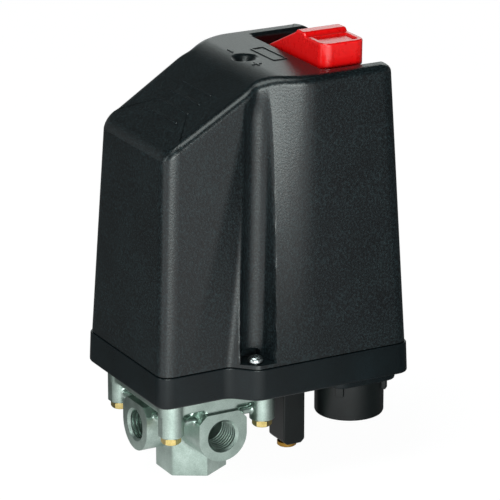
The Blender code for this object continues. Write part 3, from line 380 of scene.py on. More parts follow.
@dataclass(frozen=True)
class Palette:
    """Every finish of the switch, by the record's slot, with the lathe-cut ones beside them."""

    # Black glass-filled polyamide from a spark-eroded tool: a satin skin with a fine dry
    # speckle that greys the faces turned to the light. The real 0.15 mm grain is drawn coarser.
    hood: Finish = Finish(
        "black_polyamide_spark_eroded",
        ((0.38, "#080c0e"), (0.5, "#0f1518"), (0.62, "#1a2427")),
        (0.26, 0.38),
        ior=1.45,
        cloud_mm=22.0,
        grain_mm=0.8,
        grain_depth_mm=0.075,
        grain_strength=0.8,
        grain_share=0.8,
    )
    # The same polyamide from a smoother tool: finer grain and faint flow clouds, so the
    # rounded edges carry a soft highlight.
    tray: Finish = Finish(
        "black_polyamide_fine_grain",
        ((0.25, "#070c0f"), (0.55, "#0c1417"), (0.8, "#131e22")),
        (0.24, 0.34),
        ior=1.33,
        cloud_mm=16.0,
        grain_mm=0.6,
        grain_depth_mm=0.04,
        grain_strength=0.5,
    )
    # Black polyamide turned out of a polished tool, for the glands and the valve block: dark,
    # with long soft highlights.
    black: Finish = Finish(
        "black_polyamide_moulded",
        ((0.3, "#070a0b"), (0.6, "#0c1213"), (0.85, "#141c1d")),
        (0.26, 0.38),
        ior=1.42,
        cloud_mm=9.0,
        grain_mm=0.5,
        grain_depth_mm=0.02,
        grain_strength=0.25,
    )
    # Polished red ABS: saturated body colour under a wet-looking skin with a trace of orange peel.
    red: Finish = GlossFinish(
        "red_abs_polished_moulding",
        ((0.2, "#e00406"), (0.5, "#ee090b"), (0.8, "#f61014")),
        (0.24, 0.32),
        ior=1.54,
        cloud_mm=12.0,
        grain_mm=1.8,
        grain_depth_mm=0.002,
        grain_strength=0.1,
        grain_detail=1.0,
        coat=0.35,
        coat_rough=0.14,
    )
    # Natural grey polyamide of the hidden carrier and piston: dull and slightly milky.
    grey: Finish = Finish(
        "grey_polyamide_moulded",
        ((0.3, "#8d8f8c"), (0.7, "#a3a5a1")),
        (0.45, 0.58),
        grain_mm=0.5,
        grain_depth_mm=0.02,
        grain_strength=0.3,
    )
    # Die-cast aluminium, shot-blasted: a satin skin of tiny dents over a slow mottling of
    # greener and bluer grey.
    cast: Finish = Finish(
        "aluminium_die_cast_blasted",
        ((0.22, "#8b9b94"), (0.5, "#a8b9b1"), (0.8, "#c6d4ce")),
        (0.28, 0.44),
        metallic=1.0,
        cloud_mm=5.0,
        grain_mm=0.5,
        grain_depth_mm=0.045,
        grain_strength=0.4,
        grain_detail=3.0,
    )
    # Steel screws with yellow chromate over zinc: straw to faint green, changing over a
    # millimetre or two.
    yellow: Finish = Finish(
        "steel_zinc_yellow_chromate",
        ((0.25, "#a8985a"), (0.5, "#cdb878"), (0.75, "#e2cf96")),
        (0.24, 0.38),
        metallic=1.0,
        cloud_mm=1.8,
        grain_mm=0.3,
        grain_depth_mm=0.015,
        grain_strength=0.25,
    )
    # Steel with clear passivated zinc: bluish white, bright, with a slight haze.
    bright: Finish = Finish(
        "steel_zinc_clear_passivated",
        ((0.25, "#a9b0b2"), (0.6, "#cfd5d6"), (0.85, "#e4e8e8")),
        (0.20, 0.34),
        metallic=1.0,
        cloud_mm=2.5,
        grain_mm=0.35,
        grain_depth_mm=0.012,
        grain_strength=0.2,
    )
    # Stamped copper bridges: pink-orange with darker oxide clouds.
    copper: Finish = Finish(
        "copper_stamped",
        ((0.25, "#9c5c3e"), (0.6, "#c87f58"), (0.85, "#dc9a74")),
        (0.26, 0.42),
        metallic=1.0,
        cloud_mm=2.0,
    )
    # Moulded nitrile rubber: near black, dull, with a dusty bloom.
    rubber: Finish = Finish(
        "nitrile_rubber_moulded",
        ((0.3, "#0d0d0e"), (0.8, "#1b1b1c")),
        (0.70, 0.86),
        cloud_mm=4.0,
        grain_mm=0.3,
        grain_depth_mm=0.03,
    )
    # Drawn spring wire: mid grey steel with fine drawing marks.
    spring: Finish = Finish(
        "spring_steel_drawn",
        ((0.3, "#6d7072"), (0.7, "#8d9193")),
        (0.26, 0.40),
        metallic=1.0,
        cloud_mm=3.0,
        grain_mm=0.3,
    )
    # Free-cutting brass from the lathe: warm yellow with rings a fraction of a millimetre
    # apart round the nipple's axis.
    brass: Finish = TurnedFinish(
        "brass_turned",
        ((0.25, "#a87a2c"), (0.55, "#c99a45"), (0.85, "#e0b868")),
        (0.18, 0.32),
        metallic=1.0,
        cloud_mm=2.5,
        grain_depth_mm=0.02,
        grain_strength=0.2,
        centre=(38.9, -10.0, 0.0),
        pitch_mm=0.35,
    )
    # Faces that a cutter has opened in the casting: brighter and smoother than the cast skin,
    # with feed rings 0.5 mm apart round the side ports.
    cut_side: Finish = TurnedFinish(
        "aluminium_machined_side_port",
        ((0.25, "#a2aea9"), (0.6, "#c4cfca"), (0.85, "#dbe3df")),
        (0.22, 0.34),
        metallic=1.0,
        cloud_mm=3.0,
        grain_depth_mm=0.025,
        grain_strength=0.22,
        axis=Axis.Y,
        centre=(0.0, 0.0, 22.0),
    )
    # The same cut faces round the port at the end.
    cut_end: Finish = replace(cut_side, name="aluminium_machined_end_port", axis=Axis.X)
    # Thread grooves painted near black: painted shade of the deep grooves together with some dark
    # cutting oil and dust, which dull the metal.
    groove: Finish = Finish(
        "aluminium_thread_painted_shade",
        ((0.3, "#0c0d0d"), (0.7, "#1c1f1e")),
        (0.34, 0.50),
        metallic=0.6,
        cloud_mm=2.0,
        grain_mm=0.3,
    )
    made: dict[str, bpy.types.Material] = field(default_factory=dict)

    def material(self, finish: Finish) -> bpy.types.Material:
        """Material of a finish, built the first time it is asked for."""
        if finish.name not in self.made:
            self.made[finish.name] = finish.build()
        return self.made[finish.name]

    def of_slot(self, slot: Slot) -> Finish:
        """The finish of one of the record's slots, which has the slot's name in small letters."""
        return getattr(self, slot.name.lower())


PALETTE = Palette()


# ---------------------------------------------------------------- outlines


def rounded(corners: Sequence[Corner], steps: int = 8) -> list[Point]:
    """Outline through corners, each eased from one setback to the other.

    Args:
        corners: X, Y and setback of each corner, once round.
        steps: Pieces in each eased corner.

    Returns:
        Points of the outline, once round.
    """
    points: list[Point] = []
    for index, (x, y, setback) in enumerate(corners):
        corner = Vector((x, y))
        if setback == 0.0:
            points.append((x, y))
            continue
        before = Vector(corners[index - 1][:2])
        after = Vector(corners[(index + 1) % len(corners)][:2])
        start = corner + (before - corner).normalized() * setback
        end = corner + (after - corner).normalized() * setback
        for step in range(steps + 1):
            share = step / steps
            bend = start.lerp(corner, share).lerp(corner.lerp(end, share), share)
            points.append((bend.x, bend.y))
    return points


def offset(corners: Sequence[Corner], distance: float) -> list[Corner]:
    """Corners moved outwards by a distance, or inwards when it is negative."""
    moved: list[Corner] = []
    for index, (x, y, setback) in enumerate(corners):
        corner = Vector((x, y))
        along = (corner - Vector(corners[index - 1][:2])).normalized()
        onward = (Vector(corners[(index + 1) % len(corners)][:2]) - corner).normalized()
        out = Vector((along.y, -along.x)) + Vector((onward.y, -onward.x))
        step = out * (2 * distance / out.length_squared)
        moved.append((x + step.x, y + step.y, setback))
    return moved


def rectangle(left: float, right: float, front: float, back: float, corner: float) -> list[Point]:
    """Rectangle with four eased corners."""
    return rounded(
        [(left, front, corner), (right, front, corner), (right, back, corner), (left, back, corner)]
    )


def hexagon(flats: float, centre: Point = (0.0, 0.0)) -> list[Point]:
    """Hexagon with two of its flats facing +X and -X."""
    radius = flats / math.sqrt(3)
    angles = [math.radians(30 + 60 * step) for step in range(6)]
    return [
        (centre[0] + radius * math.cos(angle), centre[1] + radius * math.sin(angle))
        for angle in angles
    ]


def blend(low: float, high: float, share: float) -> float:
    """Value a share of the way from low to high."""
    return low + (high - low) * share


def four_of(place: Point) -> list[Point]:
    """The four places that mirror one about both axes, in the order of their numbers."""
    return [(x * place[0], y * place[1]) for x in (-1, 1) for y in (-1, 1)]


def eased(start: Point, corner: Point, end: Point, share: float) -> Point:
    """Point of the curve that leaves start for the corner and bends round it to the end."""
    return (
        blend(blend(start[0], corner[0], share), blend(corner[0], end[0], share), share),
        blend(blend(start[1], corner[1], share), blend(corner[1], end[1], share), share),
    )


def ease(low: float, high: float, value: float) -> float:
    """Share from 0 at low to 1 at high, with soft ends."""
    share = min(1.0, max(0.0, (value - low) / (high - low)))
    return share * share * (3.0 - 2.0 * share)


# ---------------------------------------------------------------- solids


class Solid:
    """A body in millimetres while it is shaped: a bmesh with the operators used on it."""

    def __init__(self, data: bmesh.types.BMesh) -> None:
        """Keep the mesh and turn its faces outwards."""
        self.data = data
        bmesh.ops.recalc_face_normals(data, faces=data.faces)

    @classmethod
    def block(cls, low: Triple, high: Triple) -> Solid:
        """A block between two opposite corners."""
        start, end = Vector(low), Vector(high)
        data = bmesh.new()
        size = Matrix.Diagonal((*(end - start), 1.0))
        place = Matrix.Translation((start + end) / 2) @ size
        bmesh.ops.create_cube(data, size=1.0, matrix=place)
        return cls(data)

    @classmethod
    def prism(
        cls, outline: Sequence[Point], low: float, high: float, axis: Axis = Axis.Z
    ) -> Solid:
        """An outline extruded along an axis.

        Args:
            outline: The two coordinates across the axis, in X, Y, Z order.
            low: Where the extrusion starts on the axis.
            high: Where it ends.
            axis: Direction of the extrusion.

        Returns:
            The closed prism.
        """
        data = bmesh.new()
        base = data.faces.new([data.verts.new((u, v, low)) for u, v in outline])
        grown = bmesh.ops.extrude_face_region(data, geom=[base])["geom"]
        raised = [item for item in grown if isinstance(item, bmesh.types.BMVert)]
        bmesh.ops.translate(data, verts=raised, vec=(0.0, 0.0, high - low))
        bmesh.ops.transform(data, matrix=AXIS_FRAMES[axis], verts=data.verts)
        return cls(data)

    @classmethod
    def loft(cls, sections: Sequence[Sequence[Triple]], ends_meet: bool = False) -> Solid:
        """A form grown from its first section through all the others.

        Args:
            sections: Points of each section, the same number in each.
            ends_meet: Whether the last section has folded onto a line, and needs no cap.

        Returns:
            The closed form.
        """
        data = bmesh.new()
        face = data.faces.new([data.verts.new(point) for point in sections[0]])
        for number, section in enumerate(sections[1:]):
            grown = bmesh.ops.extrude_face_region(data, geom=[face])["geom"]
            if number:
                bmesh.ops.delete(data, geom=[face], context="FACES_ONLY")
            face = next(item for item in grown if isinstance(item, bmesh.types.BMFace))
            for vert, point in zip(face.verts, section):
                vert.co = point
        if ends_meet:
            bmesh.ops.delete(data, geom=[face], context="FACES_ONLY")
            bmesh.ops.remove_doubles(data, verts=data.verts, dist=MERGE_FOLDED)
        return cls(data)

    @classmethod
    def turned(
        cls,
        profile: Sequence[Point],
        centre: Point,
        axis: Axis = Axis.Z,
        segments: int = 96,
        hollow: bool = False,
    ) -> Solid:
        """A round body or ring whose profile is spun about an axis.

        Args:
            profile: Radius and place on the axis of each point, from one end to the other.
            centre: The other two coordinates of the axis, in X, Y, Z order.
            axis: Direction of the axis.
            segments: Steps of the full turn.
            hollow: Whether the profile is a loop away from the axis, and makes a ring.

        Returns:
            The closed body.
        """
        data = bmesh.new()
        path = list(profile)
        if not hollow:
            path = [(0.0, path[0][1]), *path, (0.0, path[-1][1])]
        verts = [data.verts.new((radius, 0.0, place)) for radius, place in path]
        pairs = list(zip(verts, verts[1:]))
        if hollow:
            pairs.append((verts[-1], verts[0]))
        edges = [data.edges.new(pair) for pair in pairs]
        bmesh.ops.spin(
            data,
            geom=verts + edges,
            cent=(0.0, 0.0, 0.0),
            axis=(0.0, 0.0, 1.0),
            angle=math.tau,
            steps=segments,
            use_merge=True,
        )
        bmesh.ops.remove_doubles(data, verts=data.verts, dist=MERGE_TURNED)
        shift = Matrix.Translation((*centre, 0.0))
        bmesh.ops.transform(data, matrix=AXIS_FRAMES[axis] @ shift, verts=data.verts)
        return cls(data)

    @classmethod
    def rod(
        cls,
        radius: float,
        centre: Point,
        low: float,
        high: float,
        axis: Axis = Axis.Z,
        segments: int = 64,
    ) -> Solid:
        """A straight round rod between two places on an axis."""
        return cls.turned([(radius, low), (radius, high)], centre, axis, segments)

    def turn(self, degrees: float, centre: Triple, axis: Axis = Axis.Z) -> Solid:
        """Turn the body about an axis through a point."""
        spin = Matrix.Rotation(math.radians(degrees), 4, axis.value)
        place = Matrix.Translation(centre) @ spin @ Matrix.Translation(-Vector(centre))
        bmesh.ops.transform(self.data, matrix=place, verts=self.data.verts)
        return self

    def bevel(
        self,
        width: float,
        segments: int = 3,
        chosen: Callable[[bmesh.types.BMEdge], bool] | None = None,
        angle: float = 28.0,
    ) -> Solid:
        """Round the edges that are sharper than an angle.

        Args:
            width: Width of the rounding.
            segments: Steps of the rounding.
            chosen: Extra test that an edge has to pass.
            angle: Least angle between an edge's faces, in degrees.

        Returns:
            This solid.
        """
        limit = math.radians(angle)
        edges = [
            edge
            for edge in self.data.edges
            if edge.calc_face_angle(0.0) > limit and (chosen is None or chosen(edge))
        ]
        bmesh.ops.bevel(
            self.data,
            geom=edges,
            offset=width,
            segments=segments,
            profile=0.5,
            affect="EDGES",
            material=-1,
            clamp_overlap=True,
        )
        return self

    def to_object(self) -> bpy.types.Object:
        """Put the mesh into an object of its own and free the bmesh."""
        mesh = bpy.data.meshes.new("work")
        self.data.to_mesh(mesh)
        self.data.free()
        return in_scene("work", mesh)

    def take(self, made: bpy.types.Object) -> None:
        """Read the object back with its modifiers applied, and remove it."""
        bpy.context.view_layer.update()
        graph = bpy.context.evaluated_depsgraph_get()
        mesh = bpy.data.meshes.new_from_object(made.evaluated_get(graph))
        self.data = bmesh.new()
        self.data.from_mesh(mesh)
        bpy.data.objects.remove(made, do_unlink=True)
        bpy.data.meshes.remove(mesh)

    def carve(self, operation: Carve, tools: Iterable[Solid]) -> Solid:
        """Apply one Boolean after another with the given tools.

        Args:
            operation: What to do with each tool.
            tools: Solids that are used up.

        Returns:
            This solid.
        """
        for tool in tools:
            made = self.to_object()
            other = tool.to_object()
            modifier = made.modifiers.new("carve", "BOOLEAN")
            modifier.object = other
            modifier.operation = operation.value
            modifier.solver = "MANIFOLD"
            self.take(made)
            bpy.data.objects.remove(other, do_unlink=True)
        return self

    def join(self, *tools: Solid) -> Solid:
        """Union with the tools."""
        return self.carve(Carve.JOIN, tools)

    def cut(self, *tools: Solid) -> Solid:
        """This solid less the tools."""
        return self.carve(Carve.CUT, tools)

    def common(self, *tools: Solid) -> Solid:
        """What this solid shares with each of the tools."""
        return self.carve(Carve.COMMON, tools)

    def cast(self, voxel: float, rounds: int) -> Solid:
        """Give the body the soft edges and fillets of a casting.

        Args:
            voxel: Grid of the remesh in millimetres.
            rounds: Passes of smoothing.

        Returns:
            This solid.
        """
        made = self.to_object()
        grid = made.modifiers.new("grid", "REMESH")
        grid.mode = "VOXEL"
        grid.voxel_size = voxel
        self.take(made)
        for _ in range(rounds):
            bmesh.ops.smooth_vert(
                self.data,
                verts=self.data.verts,
                factor=0.5,
                use_axis_x=True,
                use_axis_y=True,
                use_axis_z=True,
            )
        return self

    def piece(
        self,
        name: str,
        slot: Slot,
        stands_for: str = "",
        body: Body = Body.HOUSING,
        finishes: Sequence[Finish] = (),
        sharp: float = 32.0,
    ) -> None:
        """Finish the body as a piece of the switch, in metres, riding on the frame.

        Args:
            name: Name of the piece.
            slot: Slot of the record that the piece takes its finish from.
            stands_for: Node of the frame that it replaces, if any.
            body: Body that it rides on.
            finishes: Finish of each material index, where there are several.
            sharp: Angle above which an edge stays crisp.
        """
        made = self.to_object()
        made.name = name
        made.data.name = name
        made.data.transform(Matrix.Scale(MM, 4))
        made.data.materials.clear()
        for finish in finishes or (PALETTE.of_slot(slot),):
            made.data.materials.append(PALETTE.material(finish))
        made.data.shade_smooth()
        made.data.set_sharp_from_angle(angle=math.radians(sharp))
        weighted = made.modifiers.new("weighted", "WEIGHTED_NORMAL")
        weighted.keep_sharp = True
        bpy.context.view_layer.update()
        graph = bpy.context.evaluated_depsgraph_get()
        mesh = bpy.data.meshes.new_from_object(made.evaluated_get(graph))
        made.modifiers.clear()
        made.data = mesh
        mesh.name = name
        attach(made, body.value)
        if stands_for:
            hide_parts(stands_for)
        LOG.info("%s: %d faces, on %s", name, len(mesh.polygons), body.value)


# ---------------------------------------------------------------- hood and tray


@dataclass
class Form:
    """Levels and outline that the hood and the tray share."""

    seam: float = 53.1
    plateau: float = 168.1
    left: float = -29.7
    right: float = 77.3
    narrow: float = 33.2
    wide: float = 41.9
    corner: float = 6.0
    crease_low: float = -18.7
    crease_high: float = 13.3
    crease_top_half: float = 30.3
    jog_low: tuple[float, float] = (-0.2, 8.3)
    jog_high: tuple[float, float] = (15.3, 16.3)
    jog_top_half: float = 29.0
    swell_low: float = 28.5
    swell_high: float = 31.3
    end_draw: float = 5.9
    wide_draw: float = 3.9

    def share(self, level: float) -> float:
        """Share of the way from the seam to the plateau."""
        return (level - self.seam) / (self.plateau - self.seam)

    def corners(self, level: float) -> list[Point]:
        """X and half width of the outline's corners at a level, from the left end to the right."""
        share = self.share(level)
        low = [
            (self.left, self.narrow),
            (self.crease_low, self.narrow),
            (self.jog_low[0], self.narrow),
            (self.jog_low[1], self.wide),
            (self.swell_low, self.wide),
            (self.right, self.wide),
        ]
        high = [
            (self.left + self.end_draw, self.narrow - self.end_draw),
            (self.crease_high, self.crease_top_half),
            (self.jog_high[0], self.jog_top_half),
            (self.jog_high[1], self.jog_top_half + 0.3),
            (self.swell_high, self.wide - self.wide_draw),
            (self.right - self.end_draw, self.wide - self.wide_draw),
        ]
        return [
            (blend(a[0], b[0], share), blend(a[1], b[1], share)) for a, b in zip(low, high)
        ]


@dataclass
class Hood:
    """Tall hood: fine outer form with screw channels, rounded top, recess and marks."""

    form: Form = field(default_factory=Form)
    bottom: float = 53.25
    wall: float = 2.5
    edge: float = 3.4
    slope_low: Point = (-25.2, 141.6)
    slope_high: Point = (18.3, 168.1)
    bend: float = 4.0
    screw: Point = (9.8, 36.8)
    channel_radius: float = 6.2
    channel_lean: Point = (3.4, -2.3)
    foot: float = 1.4
    recess_left: float = 43.8
    recess_half: float = 29.5
    recess_floor: float = 153.1
    recess_rim: float = 1.8
    hole: Point = (24.3, 0.0)
    hole_radius: float = 2.4
    dimple_radius: float = 5.3
    mark_height: float = 0.3
    dense: tuple[float, float] = (-17.0, 24.0)
    pitch: float = 0.4
    softening: tuple[float, float] = (1.2, 3.6)
    soft_from: tuple[float, float] = (20.0, 27.0)
    end_steps: int = 4
    corner_steps: int = 10
    levels: int = 34
    grid_step: float = 2.0
    fold: tuple[float, ...] = (0.03, 0.1, 0.2, 0.35, 0.5, 0.65, 0.8, 0.92, 1.0)
    spine_reach: float = 24.0

    def top(self, x: float) -> float:
        """Height of the top surface: a slope that bends softly into the plateau."""
        run = self.slope_high[0] - self.slope_low[0]
        rise = self.slope_high[1] - self.slope_low[1]
        slope = self.slope_low[1] + (x - self.slope_low[0]) * rise / run
        flat = self.form.plateau
        share = min(1.0, max(0.0, 0.5 + 0.5 * (flat - slope) / self.bend))
        return blend(flat, slope, share) - self.bend * share * (1.0 - share)

    def half_width(self, x: float, level: float) -> float:
        """Half width of the outline at a place along it, without the screw channel."""
        corners = self.form.corners(level)
        for (x0, y0), (x1, y1) in zip(corners, corners[1:]):
            if x <= x1:
                return blend(y0, y1, max(0.0, (x - x0) / (x1 - x0)))
        return corners[-1][1]

    def soft_width(self, x: float, level: float) -> float:
        """Half width with the outline's corners eased, before the channel is let in."""
        reach = blend(*self.softening, ease(*self.soft_from, x))
        steps = 5
        places = [x + reach * (2 * step / (steps - 1) - 1) for step in range(steps)]
        return sum(self.half_width(place, level) for place in places) / steps

    def channelled(self, x: float, level: float) -> float:
        """Half width with the screw channel let in, its lips eased."""
        rise = self.form.share(level)
        fade = ease(5.5, 9.5, self.top(x) - level) if level > self.bottom + self.foot else 0.0
        centre = (
            self.screw[0] + self.channel_lean[0] * rise,
            self.screw[1] + self.channel_lean[1] * rise,
        )
        total = 0.0
        shifts = (-0.5, -0.25, 0.0, 0.25, 0.5)
        for shift in shifts:
            place = x + shift
            width = self.soft_width(place, level)
            across = place - centre[0]
            if abs(across) < self.channel_radius:
                deep = centre[1] - math.sqrt(self.channel_radius**2 - across**2)
                width -= fade * max(0.0, width - deep)
            total += width
        return total / len(shifts)

    def outline(self, level: float) -> list[Point]:
        """X and half width along the front, from the middle of the left end to the right's."""
        corners = self.form.corners(level)
        ease_in = self.form.corner
        left, left_half = corners[0]
        right, right_half = corners[-1]
        start, end = left + ease_in, right - ease_in
        quarters = self.end_steps
        line: list[Point] = [
            (left, (left_half - ease_in) * step / quarters) for step in range(quarters)
        ]
        line += [
            eased(
                (left, left_half - ease_in),
                (left, left_half),
                (start, self.soft_width(start, level)),
                step / self.corner_steps,
            )
            for step in range(self.corner_steps)
        ]
        low, high = self.dense
        places = [blend(start, low, step / 12) for step in range(12)]
        places += [low + self.pitch * step for step in range(round((high - low) / self.pitch))]
        places += [blend(high, end, step / 14) for step in range(14)]
        line += [(x, self.channelled(x, level)) for x in places]
        line += [
            eased(
                (end, right_half),
                (right, right_half),
                (right, right_half - ease_in),
                step / self.corner_steps,
            )
            for step in range(self.corner_steps + 1)
        ]
        line += [
            (right, (right_half - ease_in) * step / quarters) for step in range(quarters - 1, 0, -1)
        ]
        return line

    def inward(self, line: Sequence[Point]) -> list[Vector]:
        """Smooth inward direction at each point of an outline.

        Args:
            line: Points of the outline's front half.

        Returns:
            A unit vector in the plane for each point.
        """
        count = len(line)
        reach = 9
        ways = []
        for index in range(count):
            low, high = max(0, index - reach), min(count - 1, index + reach)
            x, y = line[index]
            start = Vector(line[low]) if index - reach >= 0 else Vector((line[0][0], -y))
            end = Vector(line[high]) if index + reach < count else Vector((line[-1][0], -y))
            along = end - start
            ways.append(Vector((along.y, -along.x)).normalized())
        return ways

    def solid(self, inset: float, bottom: float) -> Solid:
        """The hood's outer form, or its cavity when inset is the wall.

        Args:
            inset: Distance inside the outer form.
            bottom: Level where the form starts.

        Returns:
            The closed form.
        """
        edge = max(0.8, self.edge - inset)
        rim_line = self.outline_at(self.form.plateau - 10.0, inset)
        rims = [self.top(x) - inset - edge for x, _ in rim_line]
        foot = self.bottom + self.foot
        sections = [
            [(x, y, level) for x, y in self.outline_at(level, inset)]
            for level in (bottom, foot - 0.03, foot + 0.03)
        ]
        start = sections[-1][0][2]
        count = math.ceil((self.form.plateau - bottom) / self.grid_step) + 4
        grid = [self.outline_at(bottom + self.grid_step * step, inset) for step in range(count)]
        for step in range(1, self.levels + 1):
            ring: list[Triple] = []
            for index, rim in enumerate(rims):
                level = blend(start, rim, step / self.levels)
                place = int((level - bottom) / self.grid_step)
                share = (level - bottom) / self.grid_step - place
                low, high = grid[place][index], grid[place + 1][index]
                ring.append((blend(low[0], high[0], share), blend(low[1], high[1], share), level))
            sections.append(ring)
        brow = sections[-1]
        ways = self.inward([(x, y) for x, y, _ in brow])
        rounds = 6
        for step in range(1, rounds + 1):
            turn = math.pi / 2 * step / rounds
            back = edge * (1.0 - math.cos(turn))
            ring = []
            for (x, y, _), way in zip(brow, ways):
                new_x, new_y = x + way.x * back, y + way.y * back
                ring.append((new_x, new_y, self.top(new_x) - inset - edge * (1.0 - math.sin(turn))))
            sections.append(ring)
        rim = sections[-1]
        spine = (rim[0][0] + self.spine_reach, rim[-1][0] - self.spine_reach)
        for share in self.fold:
            ring = []
            for x, y, _ in rim:
                new_x = blend(x, min(spine[1], max(spine[0], x)), share)
                ring.append((new_x, y * (1.0 - share), self.top(new_x) - inset))
            sections.append(ring)
        return Solid.loft([self.mirrored(ring) for ring in sections], ends_meet=True)

    def outline_at(self, level: float, inset: float) -> list[Point]:
        """Outline at a level, moved inwards by the inset."""
        raw = self.outline(level)
        if not inset:
            return raw
        ways = self.inward(raw)
        return [(x + way.x * inset, y + way.y * inset) for (x, y), way in zip(raw, ways)]

    def mirrored(self, half: Sequence[Triple]) -> list[Triple]:
        """A whole ring from its half, the front at negative Y."""
        front = [(x, -y, z) for x, y, z in half]
        back = [(x, y, z) for x, y, z in reversed(half[1:])]
        return front + back

    def recess(self) -> Solid:
        """Tool for the rocker's recess: straight walls, a rounded rim, open at the right."""
        corner = 3.2
        flat = self.form.plateau
        beyond = self.form.right + 8.0
        sides: list[tuple[float, float]] = [(self.recess_floor, 0.0), (flat - self.recess_rim, 0.0)]
        rounds = 6
        for step in range(1, rounds + 1):
            turn = math.radians(84) * step / rounds
            spread = self.recess_rim * (1.0 - math.cos(turn))
            sides.append((flat - self.recess_rim * (1.0 - math.sin(turn)), spread))
        sides.append((flat + 3.0, sides[-1][1] + 0.3))
        sections = []
        for level, spread in sides:
            half = self.recess_half + spread
            ring = rectangle(self.recess_left - spread, beyond, -half, half, corner)
            sections.append([(x, y, level) for x, y in ring])
        return Solid.loft(sections)

    def dimple(self) -> Solid:
        """Tool for the adjusting hole and the dished seat round it."""
        flat = self.form.plateau
        bowl = [
            (self.hole_radius, flat - 12.0),
            (self.hole_radius, flat - 2.6),
            (self.hole_radius + 0.3, flat - 2.2),
            (self.dimple_radius - 0.9, flat - 0.75),
            (self.dimple_radius - 0.2, flat - 0.32),
            (self.dimple_radius + 0.6, flat - 0.1),
            (self.dimple_radius + 1.6, flat + 0.2),
            (self.dimple_radius + 1.8, flat + 3.0),
        ]
        return Solid.turned(bowl, self.hole)

    def pocket(self, side: int) -> Solid:
        """Tool for the arched pocket behind a hood screw."""
        x, y = self.screw
        foot = self.bottom + self.foot
        arch = Solid.block((x - 4.6, -4.0, foot), (x + 4.6, 4.0, foot + 3.8))
        arch.bevel(1.8, 5, lambda edge: min(v.co.z for v in edge.verts) > foot + 1.0)
        centre = side * (y - 4.4)
        bmesh.ops.translate(arch.data, verts=arch.data.verts, vec=(0.0, centre, 0.0))
        return arch

    def build(self) -> None:
        """Make the hood and the plain raised marks on it."""
        hood = self.solid(0.0, self.bottom)
        cavity = self.solid(self.wall, self.bottom - 1.0)
        flat = self.form.plateau
        wall = self.wall
        cavity.cut(
            Solid.block(
                (self.recess_left - wall, -self.recess_half - wall, self.recess_floor - wall),
                (self.form.right + 9.0, self.recess_half + wall, flat + 5.0),
            )
        )
        for side in (-1, 1):
            x, y = self.screw
            cavity.cut(
                Solid.block(
                    (x - 7.2, min(side * 25.9, side * 45.0), self.bottom - 2.0),
                    (x + 7.2, max(side * 25.9, side * 45.0), self.bottom + self.foot + 8.4),
                )
            )
        hood.cut(cavity, self.recess(), self.dimple())
        for side in (-1, 1):
            centre = (self.screw[0], side * self.screw[1])
            hood.cut(self.pocket(side))
            hood.cut(Solid.rod(1.8, centre, self.bottom - 1.0, self.bottom + 3.0, segments=32))
        hood.cut(Solid.block((57.5, 13.5, 149.0), (63.5, 20.5, 154.0)))
        hood.piece("hood_shell", Slot.HOOD, "hood")
        self.marks()

    def bar(self, name: str, centre: Point, size: Point) -> None:
        """A plain raised bar with rounded ends, lying on the top surface."""
        x, y = centre
        half_x, half_y = size[0] / 2, size[1] / 2
        ease_in = min(half_x, half_y) * 0.9
        outline = rectangle(x - half_x, x + half_x, y - half_y, y + half_y, ease_in)
        bar = Solid.prism(outline, -0.8, self.mark_height)
        bar.bevel(0.12, 2, lambda edge: all(v.co.z > 0 for v in edge.verts))
        for vert in bar.data.verts:
            vert.co.z += self.top(vert.co.x)
        bar.piece(name, Slot.HOOD)

    def marks(self) -> None:
        """Plus and minus beside the adjusting hole, a blank frame and plain bars on the slope."""
        self.bar("mark_minus", (24.3, 11.0), (0.9, 4.4))
        self.bar("mark_plus_long", (24.3, -11.0), (0.9, 4.4))
        self.bar("mark_plus_cross", (24.3, -11.0), (4.4, 0.9))
        for number in range(4):
            self.bar(f"slope_bar_{number + 1}", (-12.0 + 5.0 * number, 0.0), (0.9, 26.0))
        x, half_x, half_y = 35.6, 3.2, 10.0
        outer = rectangle(x - half_x, x + half_x, -half_y, half_y, 1.0)
        inner = rectangle(x - half_x + 0.7, x + half_x - 0.7, -half_y + 0.7, half_y - 0.7, 0.6)
        flat = self.form.plateau
        plate = Solid.prism(outer, flat - 0.8, flat + self.mark_height)
        plate.cut(Solid.prism(inner, flat - 1.0, flat + 1.0))
        plate.piece("blank_frame", Slot.HOOD)


